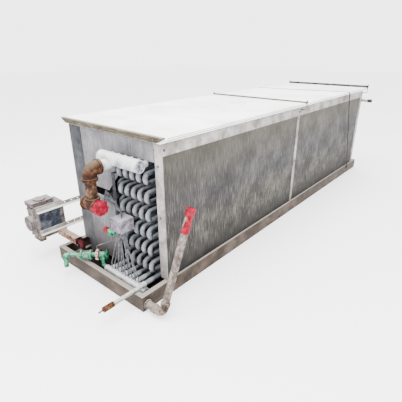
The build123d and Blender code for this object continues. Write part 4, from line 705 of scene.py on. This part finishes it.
# bare copper alloy gone brown
copper = weathered("tarnished_copper", ("#22120a", "#472b17", "#6e4c31"), 0.03, rough=(0.4, 0.65),
                   metallic=0.4, bump=(0.4, 0.003))
eased("purge_pipe", 0.0, purge_paint)
eased("purge_coupling", 0.0015, copper)
coupling_low, coupling_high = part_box("purge_coupling")
coupling_middle = (coupling_low + coupling_high) / 2
work = bmesh.new()
for y in (coupling_high.y - 0.006, coupling_low.y + 0.050):
    ring(work, (coupling_middle.x, y, coupling_middle.z), (0, 1, 0), 0.0205, 0.0024, 0.0, 36)
finish_mesh(work, "coupling_rings", copper)

# ---------------------------------------------------------------- circulating pump motor
# A pale cast frame with blue-grey sheet in the recesses of its sides, a bell end with air
# slots, a box with a round cap on top and a brown foot. The rotor turns inside.
RECESS = 0.014
SHEET_THICK = 0.0015
BELL_BOLT_ASIDE = 0.048
# pale grey paint over rust, with 2 cm patches of oily dirt
motor_paint = weathered("pale_motor_paint", ("#37302e", "#514948", "#696462"), 0.07,
                        spots=("#1d1510", 0.022, 0.535), dust=("#7c7875", 0.75), bump=(0.5, 0.004))
# a dark blue-grey paint in the recesses, scuffed pale in 15 mm spots
motor_side = weathered("blue_grey_motor_side", ("#1c1f25", "#30343c", "#4b5058"), 0.06,
                       spots=("#646569", 0.015, 0.64))
# rust on rough cast iron
foot_brown = weathered("brown_cast_foot", ("#22150c", "#402c1b", "#644e39"), 0.04, bump=(0.6, 0.004))
# bright turned steel
turned_steel = weathered("turned_shaft_steel", ("#4d4d50", "#6f6f73", "#929296"), 0.03, rough=(0.3, 0.5),
                         metallic=0.8)
for name, width in (("motor_case", 0.004), ("motor_end_bell", 0.002), ("motor_terminal_box", 0.003)):
    eased(name, width, motor_paint)
eased("motor_foot", 0.003, foot_brown)
for name, paint in (("motor_rotor", turned_steel), ("motor_bearing_plate", motor_paint)):
    painted(name, paint)
case_low, case_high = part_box("motor_case")
top_low, top_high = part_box("motor_terminal_box")
bell_low, bell_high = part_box("motor_end_bell")
shaft = Vector(joints["rotor_spin"]["pos_m"])
work = bmesh.new()
for inner, outer in ((case_high.x - RECESS, case_high.x - RECESS + SHEET_THICK),
                     (case_low.x + RECESS - SHEET_THICK, case_low.x + RECESS)):
    slab(work, (inner, case_low.y + 0.036, case_low.z + 0.036),
         (outer, case_high.y - 0.036, case_high.z - 0.064))
finish_mesh(work, "motor_side_sheets", motor_side)
# painted shade: thin black strips in the joints under the box, round its lid and round the bell
SHADE_PROUD = 0.0006
SHADE_HALF = 0.0016
seam_shade = weathered("painted_joint_shade", ("#060504", "#120e0b", "#261f19"), 0.02)
work = bmesh.new()
for z in (case_high.z, top_high.z - 0.026):
    slab(work, (top_low.x + 0.001, top_low.y - SHADE_PROUD, z - SHADE_HALF),
         (top_high.x + SHADE_PROUD, top_high.y + SHADE_PROUD, z + SHADE_HALF))
slab(work, (case_low.x + 0.001, case_low.y + 0.028, case_low.z + 0.010),
     (case_high.x + SHADE_PROUD, case_low.y + 0.0305, case_high.z - 0.010))
finish_mesh(work, "motor_joint_painted_shade", seam_shade)
work = bmesh.new()
for z in (case_low.z + 0.026, case_high.z - 0.030):
    for x in (shaft.x - BELL_BOLT_ASIDE, shaft.x + BELL_BOLT_ASIDE):
        disc(work, (x, bell_high.y - 0.013, z), (0, -1, 0), 0.008, 0.007, 6, 0.93)
for radius in (0.030, 0.060):
    ring(work, (shaft.x, bell_low.y + 0.0025, shaft.z), (0, 1, 0), radius, 0.0024, 0.0, 48)
finish_mesh(work, "motor_bell_bolts_and_rings", motor_paint)

# ---------------------------------------------------------------- pump rails and inlet
# Two angle rails carry the motor off the cabinet's left side. Under it a square tube in rust
# and cream leads to a dark red flange and hose, with a strainer in the pan.
# cream paint, half of it gone to rust in 5 cm patches
tube_cream = weathered("rust_and_cream_tube", ("#31190d", "#694d39", "#958472"), 0.05, rough=(0.7, 0.9),
                       spots=("#421100", 0.02, 0.56), dust=("#9c8f7f", 0.5), bump=(0.6, 0.004))
# dark red rubber and primer, smoother than the rusty iron
dark_red = weathered("dark_red_rubber", ("#130203", "#290306", "#440910"), 0.04, rough=(0.5, 0.75))
eased("pump_rails", 0.001, frame_zinc)
eased("pump_inlet_tube", 0.002, tube_cream)
eased("inlet_flange", 0.0015, dark_red)
eased("inlet_hose", 0.0, dark_red)
eased("intake_strainer", 0.001, dark_red)
FLANGE_BOLT_ASIDE = 0.027
flange_low, flange_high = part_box("inlet_flange")
flange_middle = (flange_low + flange_high) / 2
work = bmesh.new()
for y in (-FLANGE_BOLT_ASIDE, FLANGE_BOLT_ASIDE):
    for z in (-FLANGE_BOLT_ASIDE, FLANGE_BOLT_ASIDE):
        place = (flange_low.x + 0.010, flange_middle.y + y, flange_middle.z + z)
        disc(work, place, (1, 0, 0), 0.006, 0.005, 6)
finish_mesh(work, "flange_bolts", bolt_zinc)

# ---------------------------------------------------------------- water pipe across the back
# A galvanised pipe in two welded brackets behind the back wall, closed at its right end by a
# rusty screwed cap.
eased("rear_water_pipe", 0.001, frame_zinc)
eased("rear_pipe_cap", 0.002, bar_steel)

# ---------------------------------------------------------------- swing drain
# A mottled pipe screwed into an elbow that turns on its nipple. A red plastic cap closes it,
# and a strip of the same plastic is wrapped below the cap.
# galvanised pipe, mottled over 4 to 5 cm, pitted with 12 mm rust spots
drain_zinc = weathered("mottled_drain_pipe", ("#362f29", "#574f48", "#7a716b"), 0.045, rough=(0.65, 0.85),
                       spots=("#251b13", 0.012, 0.58), dust=("#948c84", 0.4), bump=(0.7, 0.004))
# the casting has kept less of its zinc and is browner
elbow_iron = weathered("brown_drain_elbow", ("#231b15", "#463a30", "#76695c"), 0.03,
                       spots=("#16100b", 0.01, 0.58), dust=("#9b9085", 0.35), bump=(0.7, 0.004))
eased("drain_elbow", 0.002, elbow_iron)
eased("drain_nipple", 0.001, drain_zinc)
eased("drain_swing_pipe", 0.0, drain_zinc)
eased("drain_pipe_cap", 0.002, red)
